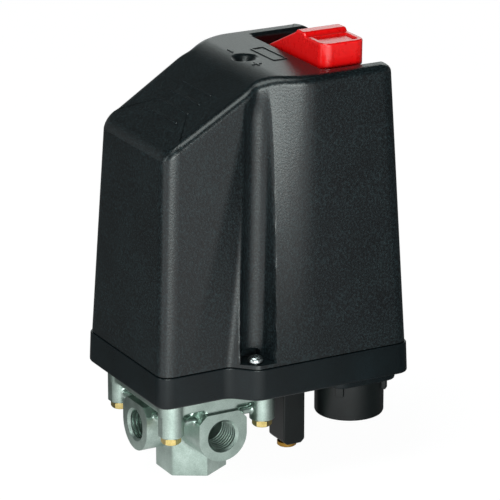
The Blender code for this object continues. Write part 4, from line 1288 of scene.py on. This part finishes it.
@dataclass
class Tray:
    """Base tray: skirt, floor, gland pad and screw posts."""

    form: Form = field(default_factory=Form)
    bottom: float = 40.0
    top: float = 52.95
    floor: float = 43.0
    proud: float = 0.5
    flare: float = 0.4
    wall: float = 2.2
    pad: tuple[float, float, float] = (46.0, 75.3, 38.0)
    pad_corner: float = 6.0
    pad_bottom: float = 36.0
    post: float = 4.2
    screw: Point = (9.8, 36.8)
    gland: Point = (62.0, 20.5)
    gland_hole: float = 10.3
    bolt: Point = (20.5, 22.5)
    piston_hole: float = 15.0
    valve: Point = (38.9, -10.0)

    def ring(self) -> list[Corner]:
        """Corners of the whole outline with their setbacks."""
        half = self.form.corners(self.form.seam)
        setbacks = (6.0, 0.0, 3.0, 3.6, 3.0, 6.0)
        front = [(x, -y, back) for (x, y), back in zip(half, setbacks)]
        return front + [(x, -y, back) for x, y, back in reversed(front)]

    def build(self) -> None:
        """Make the tray."""
        corners = self.ring()
        low = rounded(offset(corners, self.proud + self.flare), 10)
        high = rounded(offset(corners, self.proud), 10)
        tray = Solid.loft(
            [
                [(x, y, self.bottom) for x, y in low],
                [(x, y, self.top) for x, y in high],
            ]
        )
        tray.bevel(1.3, 4, lambda edge: all(v.co.z < self.bottom + 0.1 for v in edge.verts), 60)
        tray.bevel(0.45, 2, lambda edge: all(v.co.z > self.top - 0.1 for v in edge.verts), 60)
        inside = rounded(offset(corners, -self.wall), 10)
        tray.cut(Solid.prism(inside, self.floor, self.top + 1.0))
        left, right, half = self.pad
        outline = rectangle(left, right, -half, half, self.pad_corner)
        pad = Solid.prism(outline, self.pad_bottom, self.floor - CLEARANCE)
        pad.bevel(0.9, 3, lambda edge: all(v.co.z < self.pad_bottom + 0.1 for v in edge.verts), 60)
        tray.join(pad)
        for side in (-1, 1):
            centre = (self.screw[0], side * self.screw[1])
            tray.join(Solid.rod(self.post, centre, self.floor - 0.3, self.top, segments=48))
            tray.cut(Solid.rod(1.8, centre, self.top - 9.0, self.top + 1.0, segments=32))
            gland = (self.gland[0], side * self.gland[1])
            tray.cut(Solid.rod(self.gland_hole, gland, self.pad_bottom - 1.0, self.floor + 1.0))
            for end in (-1, 1):
                bolt = (end * self.bolt[0], side * self.bolt[1])
                tray.cut(Solid.rod(2.2, bolt, self.bottom - 1.0, self.floor + 1.0, segments=32))
        tray.cut(Solid.rod(self.piston_hole, (0.0, 0.0), self.bottom - 1.0, self.floor + 1.0))
        tray.cut(Solid.rod(2.2, self.valve, self.bottom - 1.0, self.floor + 1.0, segments=32))
        tray.piece("tray_moulding", Slot.TRAY, "base_tray")


# ---------------------------------------------------------------- flange and its bolts


@dataclass
class Flange:
    """Die-cast flange: soft cast skin, crisp machined faces and threaded ports."""

    hex_flats: float = 25.0
    plate_bottom: float = 33.4
    plate_top: float = 39.7
    axis_level: float = 22.0
    ring: float = 10.65
    port_top: float = 9.8
    port_chamfer: float = 3.4
    side_reach: float = 28.0
    end_reach: float = 25.3
    bore: float = 5.9
    mouth: float = 6.9
    thread_deep: float = 0.86
    thread_pitch: float = 1.6
    thread_length: float = 13.0
    tank_bore: float = 7.5
    tank_depth: float = 18.0
    tank_pitch: float = 1.814
    bolt: Point = (20.5, 22.5)
    boss: float = 5.15
    boss_bottom: float = 24.5
    rib: float = 1.6
    rib_level: float = 28.9
    chamber: Point = (17.0, 20.5)
    chamber_floor: float = 35.25
    seat_floor: float = 37.65
    web_end: float = 3.0
    plate_margin: float = 4.0
    wall: float = 2.0
    bite: float = 0.4
    lead_in: float = 1.0
    bolt_hole: float = 2.2
    centre_bore: float = 4.0
    voxel: float = 0.46
    allowance: float = 0.8
    # Where the cutter's finishes end: the groove's rise that stays bright, the lip round a
    # mouth, the depth that no port passes, the edge of a faced end and the slack of a face.
    groove_from: float = 0.3
    lip: float = 0.9
    deepest: float = 8.0
    face_edge: float = 5.0
    slack: float = 0.05

    def port_outline(self) -> list[Point]:
        """End view of a port block: round below, straight sides, flat top with chamfers."""
        steps = 40
        level, ring = self.axis_level, self.ring
        arc = []
        for step in range(steps + 1):
            turn = math.pi + math.pi * step / steps
            arc.append((ring * math.cos(turn), level + ring * math.sin(turn)))
        top = level + self.port_top
        inner = ring - self.port_chamfer
        shoulder = top - self.port_chamfer
        return arc + [(ring, shoulder), (inner, top), (-inner, top), (-ring, shoulder)]

    def thread(
        self, radius: float, deep: float, pitch: float, face: float, inward: int, length: float
    ) -> list[Point]:
        """Profile of a threaded bore's tool, from the mouth inwards.

        Args:
            radius: Radius at the thread's crests.
            deep: Depth of its grooves.
            pitch: Distance between grooves.
            face: Place of the mouth on the axis.
            inward: Direction from the mouth into the metal, 1 or -1.
            length: Length of the thread.

        Returns:
            Radius and place of each point.
        """
        lead = self.mouth - self.bore
        points = [
            (radius + lead + 1.0, face - inward * 1.0),
            (radius + lead, face),
            (radius, face + inward * self.lead_in),
        ]
        turns = int((length - self.lead_in) / pitch)
        for turn in range(turns):
            start = self.lead_in + turn * pitch
            for share, radial in ((0.4, 0.0), (0.55, deep), (0.85, deep), (1.0, 0.0)):
                points.append((radius + radial, face + inward * (start + share * pitch)))
        return points

    def casting(self) -> Solid:
        """The cast body before any cutting, a little long at the faces to be machined."""
        extra = self.allowance
        level = self.plate_bottom + CLEARANCE
        body = Solid.prism(hexagon(self.hex_flats), -extra, level)
        outline = self.port_outline()
        side, end = self.side_reach + extra, self.end_reach + extra
        body.join(Solid.prism(outline, -side, side, Axis.Y))
        body.join(Solid.prism(outline, -end, self.centre_bore, Axis.X))
        margin = self.plate_margin
        half_x, half_y = self.bolt[0] + margin, self.bolt[1] + margin
        plate = rectangle(-half_x, half_x, -half_y, half_y, margin)
        body.join(Solid.prism(plate, self.plate_bottom, self.plate_top + extra))
        web = self.ring - self.port_chamfer
        body.join(Solid.block((-web, -half_y, self.axis_level), (web, half_y, level)))
        body.join(Solid.block((self.web_end - half_x, -web, self.axis_level), (0.0, web, level)))
        inset = self.web_end
        far, near, low = self.bolt[0], self.bolt[1] - inset, self.rib_level - 1.0
        for side_y in (-1, 1):
            reach = sorted((side_y * near, side_y * (near - self.wall)))
            body.join(Solid.block((-far, reach[0], low), (far, reach[1], level)))
        body.join(Solid.block((inset - far, -near, low), (inset + self.wall - far, near, level)))
        low, high = self.boss_bottom - extra, self.plate_top + extra * 0.5
        for centre in four_of(self.bolt):
            body.join(Solid.rod(self.boss, centre, low, high))
            rib = (centre[1], self.rib_level)
            reach = sorted((centre[0], math.copysign(self.ring - self.bite, centre[0])))
            body.join(Solid.rod(self.rib, rib, *reach, Axis.X, 32))
        for side_y in (-1, 1):
            rib = (-self.bolt[0], self.rib_level)
            reach = sorted((side_y * self.bolt[1], side_y * (self.ring - self.bite)))
            body.join(Solid.rod(self.rib, rib, *reach, Axis.Y, 32))
        return body.cast(self.voxel, 4)

    def machined(self, centre: Vector) -> int:
        """Index of the finish at a place: 0 cast skin, 1 cut round Y, 2 cut round X, 3 groove in
        painted shade.
        """
        level = centre.z - self.axis_level
        side = (math.hypot(centre.x, level), abs(centre.y), self.side_reach)
        end = (math.hypot(centre.y, level), -centre.x, self.end_reach)
        groove = self.bore + self.thread_deep * self.groove_from
        for across, along, reach in (side, end):
            threaded = reach - self.thread_length < along < reach - self.lead_in
            if threaded and groove < across < self.mouth:
                return 3
        if side[1] > self.side_reach - self.slack:
            return 0 if side[0] > self.ring + self.face_edge else 1
        if side[0] < self.mouth + self.lip and side[1] > self.deepest:
            return 1
        if end[1] > self.end_reach - self.slack:
            return 2
        if end[0] < self.mouth + self.lip and end[1] > self.deepest:
            return 2
        return 0

    def build(self) -> None:
        """Make the casting, machine its faces and cut its threads."""
        body = self.casting()
        extra = self.allowance
        big = 60.0
        for side in (-1, 1):
            reach = sorted((side * self.side_reach, side * big))
            body.cut(Solid.block((-big, reach[0], -5.0), (big, reach[1], self.plate_bottom - 0.2)))
        body.cut(Solid.block((-big, -big, -5.0), (-self.end_reach, big, self.plate_bottom - 0.2)))
        body.cut(Solid.block((-big, -big, -big), (big, big, 0.0)))
        body.cut(Solid.block((-big, -big, self.plate_top), (big, big, self.plate_top + big)))
        low = self.boss_bottom - 2 * extra - 1.0
        for place in four_of(self.bolt):
            body.cut(Solid.rod(self.boss + extra, place, low, self.boss_bottom))
            body.cut(Solid.rod(self.bolt_hole, place, low, self.plate_top + 1.0, segments=32))
        thread = (self.bore, self.thread_deep, self.thread_pitch)
        front = self.thread(*thread, -self.side_reach, 1, self.thread_length)
        back = self.thread(*thread, self.side_reach, -1, self.thread_length)
        body.cut(Solid.turned(front + back[::-1], (0.0, self.axis_level), Axis.Y))
        end = self.thread(*thread, -self.end_reach, 1, self.thread_length)
        inner = (self.bore, self.centre_bore)
        body.cut(Solid.turned([*end, inner], (0.0, self.axis_level), Axis.X))
        tank = self.thread(self.tank_bore, 0.8, self.tank_pitch, 0.0, 1, self.tank_depth - 3.0)
        body.cut(Solid.turned([*tank, (self.tank_bore, self.tank_depth)], (0.0, 0.0)))
        centre = (0.0, 0.0)
        above = self.plate_top + 1.0
        body.cut(Solid.rod(self.centre_bore, centre, self.axis_level, above))
        body.cut(Solid.rod(self.chamber[0], centre, self.chamber_floor, above))
        body.cut(Solid.rod(self.chamber[1], centre, self.seat_floor, above))
        for face in body.data.faces:
            face.material_index = self.machined(face.calc_center_median())
        # The groove finish paints the thread grooves near black as shade.
        finishes = (PALETTE.cast, PALETTE.cut_side, PALETTE.cut_end, PALETTE.groove)
        body.piece("flange_body", Slot.CAST, "flange_casting", finishes=finishes, sharp=40.0)


@dataclass
class FlangeBolts:
    """Hexagon bolts under the bosses, heads down, with a chamfered top and a washer face."""

    places: Point = (20.5, 22.5)
    flats: float = 7.0
    head: tuple[float, float] = (21.2, 24.2)
    shank: float = 1.9
    shank_top: float = 45.0

    def build(self) -> None:
        """Make the four bolts."""
        low, high = self.head
        half = self.flats / 2
        wide = self.flats / math.sqrt(3) + 0.1
        dome = [
            (half * 0.94, low - 0.01),
            (wide, low + 0.62),
            (wide, high - 0.55),
            (half * 0.99, high - 0.3),
            (half * 0.99, high + 0.01),
        ]
        for number, centre in enumerate(four_of(self.places), start=1):
            bolt = Solid.prism(hexagon(self.flats, centre), low, high)
            bolt.common(Solid.turned(dome, centre, segments=72))
            bolt.cut(Solid.rod(self.flats * 0.22, centre, low - 1.0, low + 0.3, segments=32))
            bolt.join(Solid.rod(self.shank, centre, high - 0.3, self.shank_top, segments=24))
            node = f"flange_bolt_{number}"
            bolt.piece(f"{node}_hex", Slot.YELLOW, node)


@dataclass
class HoodScrews:
    """Two pan-head screws with a cross recess, standing in the hood's channels."""

    place: Point = (9.8, 36.8)
    seat: float = 54.95
    radius: float = 3.0
    height: float = 2.4
    shank: float = 1.5
    shank_bottom: float = 44.25
    recess_turn: float = 28.0

    def build(self) -> None:
        """Make both screws."""
        for side, label in ((-1, "front"), (1, "back")):
            x, y = self.place[0], side * self.place[1]
            top = self.seat + self.height
            pan = [
                (self.radius * 0.90, self.seat),
                (self.radius, self.seat + 0.25),
                (self.radius * 0.99, self.seat + 0.9),
                (self.radius * 0.93, self.seat + 1.5),
                (self.radius * 0.80, self.seat + 1.98),
                (self.radius * 0.60, self.seat + 2.27),
                (self.radius * 0.30, top - 0.02),
            ]
            screw = Solid.turned(pan, (x, y), segments=64)
            arm, slot, deep = self.radius * 0.58, self.radius * 0.14, top - 1.3
            for half_x, half_y in ((arm, slot), (slot, arm)):
                corner = (x + half_x, y + half_y, top + 1.0)
                tool = Solid.block((x - half_x, y - half_y, deep), corner)
                screw.cut(tool.turn(self.recess_turn, (x, y, 0.0)))
            screw.join(
                Solid.rod(self.shank, (x, y), self.shank_bottom, self.seat + 0.3, segments=24)
            )
            node = f"hood_screw_{label}"
            screw.piece(f"{node}_pan", Slot.BRIGHT, node)


# ---------------------------------------------------------------- rocker


@dataclass
class Rocker:
    """Glossy red rocker with a sunk finger panel and a ridge across it."""

    left: float = 44.8
    width: float = 19.5
    pivot: float = 165.1
    wall: float = 2.0
    near_corner: float = 4.2
    edge: float = 1.1
    pin_hole: float = 1.8
    profile: tuple[Point, ...] = (
        (-27.2, 1.5),
        (26.8, -8.0),
        (27.2, -3.2),
        (12.6, 3.8),
        (-5.0, 12.0),
        (-6.0, 13.2),
        (-11.5, 13.2),
        (-12.8, 11.8),
        (-27.4, 11.8),
    )

    def build(self) -> None:
        """Make the rocker."""
        right = self.left + self.width
        outline = [(y, self.pivot + z) for y, z in self.profile]
        rocker = Solid.prism(outline, self.left, right, Axis.X)

        def near_upright(edge: bmesh.types.BMEdge) -> bool:
            """Whether an edge stands upright at the near end."""
            low, high = (vert.co for vert in edge.verts)
            return low.y < -27.0 and high.y < -27.0 and abs(low.z - high.z) > 5.0

        rocker.bevel(self.near_corner, 10, near_upright)
        rocker.bevel(self.edge, 4, angle=14.0)
        panel = [
            face
            for face in rocker.data.faces
            if face.normal.z > 0.99
            and -25.0 < face.calc_center_median().y < -13.0
            and face.calc_area() > 40.0
        ]
        bmesh.ops.inset_region(rocker.data, faces=panel, thickness=1.2, use_even_offset=True)
        bmesh.ops.inset_region(
            rocker.data, faces=panel, thickness=0.5, depth=-0.8, use_even_offset=True
        )
        inner = [(y, z) for y, z, _ in offset([(y, z, 0.0) for y, z in outline], -self.wall)]
        dropped = [(y, z - 2 * self.wall) for y, z in inner[:2]]
        hollow = dropped + inner[2:]
        low, high = self.left + self.wall, right - self.wall
        rocker.cut(Solid.prism(hollow, low, high, Axis.X))
        pin = (0.0, self.pivot)
        rocker.cut(Solid.rod(self.pin_hole, pin, self.left - 1.0, right + 1.0, Axis.X, 32))
        rocker.piece("rocker_moulding", Slot.RED, "rocker_button", Body.ROCKER, sharp=35.0)


# ---------------------------------------------------------------- valve and glands


@dataclass
class Unloader:
    """Unloader valve: moulded block with a stepped foot and a turned brass nipple."""

    centre: Point = (38.9, -10.0)
    half_x: float = 4.85
    half_y: float = 6.45
    bottom: float = 7.0
    top: float = 39.7
    chamfer: float = 1.6
    nipple: float = 4.0
    nipple_low: float = 4.7
    bore: float = 1.5

    def build(self) -> None:
        """Make the block and the nipple."""
        x, y = self.centre
        lift, inner = self.bottom + self.chamfer, self.half_x - self.chamfer
        outline = [
            (x - inner, self.bottom),
            (x + inner, self.bottom),
            (x + self.half_x, lift),
            (x + self.half_x, self.top),
            (x - self.half_x, self.top),
            (x - self.half_x, lift),
        ]
        block = Solid.prism(outline, y - self.half_y, y + self.half_y, Axis.Y)
        block.bevel(0.55, 3)
        block.cut(Solid.rod(2.2, self.centre, 28.0, self.top + 1.0, segments=32))
        block.cut(Solid.rod(3.3, self.centre, self.bottom - 1.0, 16.0, segments=48))
        block.cut(Solid.rod(self.bore, self.centre, 15.0, 29.0, segments=32))
        block.piece("unloader_block", Slot.BLACK, "unloader_body")
        rim = self.bottom - 0.3
        tube = [
            (self.bore, self.nipple_low),
            (self.bore + 0.25, self.nipple_low),
            (self.nipple - 0.45, self.nipple_low),
            (self.nipple, self.nipple_low + 0.4),
            (self.nipple, rim - 0.15),
            (self.nipple - 0.15, rim),
            (3.0, rim),
            (3.0, 15.7),
            (self.bore, 15.7),
        ]
        nipple = Solid.turned(tube, self.centre, segments=72, hollow=True)
        nipple.piece("nipple_turned", Slot.BRASS, "unloader_nipple")


@dataclass
class Gland:
    """Cable gland: round body with four lugs, rubber seal and retainer ring."""

    side: int
    label: str
    x: float = 62.0
    y: float = 20.5
    radius: float = 14.15
    bottom: float = 19.5
    top: float = 35.7
    neck: float = 10.0
    neck_top: float = 48.0
    bore: float = 8.0
    pocket: float = 11.5
    pocket_top: float = 28.0
    lug: Triple = (3.3, 5.5, 1.5)
    seal: tuple[float, float, float, float] = (6.0, 22.3, 27.7, 0.9)
    retainer: tuple[float, float, float, float] = (7.0, 20.2, 22.0, 0.4)

    def build(self) -> None:
        """Make the body, the seal and the retainer."""
        centre = (self.x, self.side * self.y)
        shell = [
            (self.pocket, self.bottom),
            (self.radius - 0.8, self.bottom),
            (self.radius - 0.25, self.bottom + 0.22),
            (self.radius, self.bottom + 0.8),
            (self.radius, self.top - 0.3),
            (self.radius - 0.3, self.top),
            (self.neck, self.top),
            (self.neck, self.neck_top - 0.5),
            (self.neck - 0.5, self.neck_top),
            (self.bore, self.neck_top),
            (self.bore, self.pocket_top),
            (self.pocket, self.pocket_top),
        ]
        body = Solid.turned(shell, centre, segments=128, hollow=True)
        width, height, proud = self.lug
        for quarter in range(4):
            lug = Solid.block(
                (self.radius - 1.2, -width / 2, self.top - height),
                (self.radius + proud, width / 2, self.top - 0.15),
            )
            lug.bevel(0.35, 2)
            bmesh.ops.translate(lug.data, verts=lug.data.verts, vec=(*centre, 0.0))
            body.join(lug.turn(45.0 + 90.0 * quarter, (*centre, 0.0)))
        node = f"gland_body_{self.label}"
        body.piece(f"{node}_turned", Slot.BLACK, node)
        self.ring_piece("gland_seal", *self.seal, Slot.RUBBER)
        self.ring_piece("gland_retainer", *self.retainer, Slot.BLACK)

    def ring_piece(
        self, name: str, inner: float, low: float, high: float, ease_in: float, slot: Slot
    ) -> None:
        """Make a packing ring with eased edges.

        Args:
            name: Name of the frame's node, without the gland's label.
            inner: Radius of the hole.
            low: Level of its lower face.
            high: Level of its upper face.
            ease_in: Width of the eased edges.
            slot: Slot of the record.
        """
        outer = self.pocket - CLEARANCE
        loop = [
            (inner, low + ease_in),
            (inner + ease_in * 0.3, low + ease_in * 0.3),
            (inner + ease_in, low),
            (outer - 0.3, low),
            (outer, low + 0.3),
            (outer, high - 0.3),
            (outer - 0.3, high),
            (inner + ease_in, high),
            (inner, high - ease_in),
        ]
        node = f"{name}_{self.label}"
        ring = Solid.turned(loop, (self.x, self.side * self.y), hollow=True)
        ring.piece(f"{node}_ring", slot, node)


# ---------------------------------------------------------------- carried-over pieces


@dataclass
class RangeSpring:
    """Coil spring in two halves, cut at mid height."""

    node: str = "main_spring"

    def half(self, name: str, level: float, upper: bool) -> bpy.types.Object:
        """The part of the coil on one side of a level.

        Args:
            name: Name of the piece.
            level: Height of the cut, in metres.
            upper: Whether the part above the level stays.

        Returns:
            The piece, with its cut end closed.
        """
        data = bmesh.new()
        data.from_mesh(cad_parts[self.node].data)
        bmesh.ops.bisect_plane(
            data,
            geom=[*data.verts, *data.edges, *data.faces],
            plane_co=(0.0, 0.0, level),
            plane_no=(0.0, 0.0, 1.0),
            clear_inner=upper,
            clear_outer=not upper,
        )
        bmesh.ops.holes_fill(data, edges=data.edges)
        mesh = bpy.data.meshes.new(name)
        data.to_mesh(mesh)
        data.free()
        mesh.materials.clear()
        mesh.materials.append(PALETTE.material(PALETTE.spring))
        made = in_scene(name, mesh)
        return made

    def build(self) -> None:
        """Make both halves, which meet at the spring's mid height."""
        low, high = (Vector(corner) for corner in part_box(self.node))
        foot = Vector(((low.x + high.x) / 2, (low.y + high.y) / 2, low.z))
        middle = foot + Vector((0.0, 0.0, (high.z - low.z) / 2))
        lower = self.half("range_spring_lower", middle.z, False)
        upper = self.half("range_spring_upper", middle.z, True)
        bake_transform(lower)
        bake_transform(upper)
        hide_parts(self.node)
        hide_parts(self.node)


@dataclass
class Mechanism:
    """Pieces of the frame whose own shape stays, which only get their finish."""

    slots: dict[str, Slot] = field(
        default_factory=lambda: {
            "adjusting_screw": Slot.BRIGHT,
            "chassis_frame": Slot.BRIGHT,
            "contact_block": Slot.BLACK,
            "contact_bridge": Slot.COPPER,
            "contact_carrier": Slot.GREY,
            "contact_spring": Slot.SPRING,
            "diaphragm_piston": Slot.GREY,
            "diaphragm": Slot.RUBBER,
            "earth_screw": Slot.YELLOW,
            "fixed_contact": Slot.BRASS,
            "gland_locknut": Slot.BLACK,
            "lever_pivot_pin": Slot.SPRING,
            "main_lever": Slot.BRIGHT,
            "off_link": Slot.BRIGHT,
            "rocker_bracket": Slot.BLACK,
            "rocker_pin": Slot.SPRING,
            "spring_seat_nut": Slot.YELLOW,
            "terminal_screw": Slot.BRIGHT,
            "unloader_stem": Slot.BRASS,
        }
    )

    def build(self) -> None:
        """Dress every node of the frame that is still shown."""
        for name, node in sorted(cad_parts.items()):
            if node.hide_render:
                continue
            start = next(key for key in self.slots if name.startswith(key))
            material = PALETTE.material(PALETTE.of_slot(self.slots[start]))
            for place in range(len(node.data.materials)):
                node.data.materials[place] = material
            if not node.data.materials:
                node.data.materials.append(material)
            LOG.info("%s: finish %s", name, material.name)


# ---------------------------------------------------------------- studio


@dataclass(frozen=True)
class Lamp:
    """One soft area lamp: where it stands, what it faces, its size and its strength."""

    name: str
    place: Triple
    target: Triple
    size: Point
    watts: float
    colour: str = "#eef7f4"


@dataclass
class Studio:
    """Pale floor, soft lamps, even surroundings and the camera."""

    eye: Triple = (-0.5676, -1.0976, 0.5108)
    gaze: Triple = (0.45124, 0.83262, -0.32112)
    lens: float = 236.0
    sensor: float = 36.0
    floor_half: float = 6.0
    floor_shade: float = 0.10
    floor_glow: float = 1.07
    mirrored: tuple[float, float] = (1.5, 0.06)
    pool: tuple[float, float] = (-0.08, 0.07)
    pool_slant: float = 0.43
    room: float = 0.34
    lamps: tuple[Lamp, ...] = (
        Lamp("front", (-0.42, -1.15, 0.22), (0.0, 0.0, 0.10), (0.8, 0.35), 13.0),
        Lamp("top", (-0.5, -0.2, 1.4), (0.0, 0.0, 0.10), (0.8, 0.8), 12.0),
        Lamp("left", (-1.2, 0.1, 0.35), (0.0, 0.0, 0.08), (0.25, 0.7), 3.0),
        Lamp("back", (0.9, 1.2, 0.55), (0.02, 0.0, 0.15), (1.2, 0.4), 2.2),
    )

    def floor(self) -> None:
        """Make the floor: near white with a faint shadow to the camera, matt to diffuse rays.

        Mirror rays see a painted pool of light at the front left, which gives the black faces
        their sheen, and a dark floor past it.
        """
        data = bmesh.new()
        bmesh.ops.create_grid(data, x_segments=4, y_segments=4, size=self.floor_half)
        mesh = bpy.data.meshes.new("floor")
        data.to_mesh(mesh)
        data.free()
        floor = in_scene("floor", mesh)
        made = bpy.data.materials.new("paper_white_matt")
        made.use_nodes = True
        tree = made.node_tree
        tree.nodes.clear()
        place = add_node(tree, "ShaderNodeTexCoord").outputs["Object"]
        fibre = add_node(
            tree, "ShaderNodeTexNoise", inputs={"Vector": place, "Scale": per_mm(0.8)}
        )
        tone = ramp(tree, fibre.outputs["Fac"], ((0.3, "#f4f4f4"), (0.7, "#fafafa")))
        matt = add_node(tree, "ShaderNodeBsdfDiffuse", inputs={"Color": tone})
        path = add_node(tree, "ShaderNodeLightPath")
        camera, glossy = path.outputs["Is Camera Ray"], path.outputs["Is Glossy Ray"]
        split = add_node(tree, "ShaderNodeSeparateXYZ", inputs={"Vector": place})
        across = arithmetic(
            tree, "MULTIPLY_ADD", split.outputs["Y"], self.pool_slant, split.outputs["X"]
        )
        far = arithmetic(tree, "MAXIMUM", across, split.outputs["Y"])
        fall = add_node(
            tree,
            "ShaderNodeMapRange",
            inputs={
                "Value": far,
                "From Min": self.pool[0],
                "From Max": self.pool[1],
                "To Min": self.mirrored[0],
                "To Max": self.mirrored[1],
            },
        )
        bright = arithmetic(tree, "MULTIPLY", camera, self.floor_glow)
        strength = arithmetic(tree, "MULTIPLY_ADD", glossy, fall.outputs["Result"], bright)
        glow = add_node(tree, "ShaderNodeEmission", inputs={"Strength": strength})
        seen = arithmetic(tree, "MAXIMUM", camera, glossy)
        share = arithmetic(tree, "MULTIPLY", seen, 1.0 - self.floor_shade)
        mixed = add_node(
            tree,
            "ShaderNodeMixShader",
            inputs={"Fac": share, 1: matt.outputs[0], 2: glow.outputs[0]},
        )
        add_node(tree, "ShaderNodeOutputMaterial", inputs={"Surface": mixed.outputs[0]})
        mesh.materials.append(made)

    def surroundings(self) -> None:
        """Light the world evenly, with a paler band at eye level for metal to mirror."""
        world = bpy.data.worlds.new("studio")
        bpy.context.scene.world = world
        world.use_nodes = True
        tree = world.node_tree
        tree.nodes.clear()
        path = add_node(tree, "ShaderNodeLightPath")
        way = add_node(tree, "ShaderNodeTexCoord").outputs["Generated"]
        split = add_node(tree, "ShaderNodeSeparateXYZ", inputs={"Vector": way})
        height = add_node(
            tree,
            "ShaderNodeMapRange",
            inputs={"Value": split.outputs["Z"], "From Min": -0.2, "From Max": 1.0},
        )
        walls = ramp(
            tree,
            height.outputs["Result"],
            ((0.0, "#ffffff"), (0.35, "#e8eeee"), (0.6, "#59605f"), (1.0, "#3d4343")),
        )
        room = add_node(
            tree, "ShaderNodeBackground", inputs={"Color": walls, "Strength": self.room}
        )
        white = add_node(tree, "ShaderNodeBackground", inputs={"Color": (1, 1, 1, 1)})
        mixed = add_node(
            tree,
            "ShaderNodeMixShader",
            inputs={
                "Fac": path.outputs["Is Camera Ray"],
                1: room.outputs[0],
                2: white.outputs[0],
            },
        )
        add_node(tree, "ShaderNodeOutputWorld", inputs={"Surface": mixed.outputs[0]})

    def light(self, lamp: Lamp) -> None:
        """Hang one area lamp."""
        data = bpy.data.lights.new(lamp.name, "AREA")
        data.shape = "RECTANGLE"
        data.size, data.size_y = lamp.size
        data.energy = lamp.watts
        data.color = srgb(lamp.colour)[:3]
        made = in_scene(lamp.name, data)
        made.location = lamp.place
        aim = Vector(lamp.target) - Vector(lamp.place)
        made.rotation_euler = aim.to_track_quat("-Z", "Y").to_euler()

    def camera(self) -> None:
        """Stand the camera at its place."""
        data = bpy.data.cameras.new("camera")
        data.lens = self.lens
        data.sensor_width = self.sensor
        data.clip_end = 50.0
        made = in_scene("camera", data)
        made.location = self.eye
        made.rotation_euler = Vector(self.gaze).to_track_quat("-Z", "Y").to_euler()
        bpy.context.scene.camera = made

    def build(self) -> None:
        """Set the stage."""
        self.camera()
        self.floor()
        self.surroundings()
        for lamp in self.lamps:
            self.light(lamp)
        bpy.context.scene.view_settings.view_transform = "Standard"


def main() -> None:
    """Build the switch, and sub-assembly by sub-assembly."""
    logging.basicConfig(level=logging.INFO, format="%(name)s %(message)s")
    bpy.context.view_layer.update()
    Studio().build()
    Hood().build()
    Tray().build()
    Flange().build()
    FlangeBolts().build()
    HoodScrews().build()
    Rocker().build()
    Unloader().build()
    for side, label in ((-1, "front"), (1, "back")):
        Gland(side, label).build()
    RangeSpring().build()
    Mechanism().build()


if __name__ == "__main__":
    main()
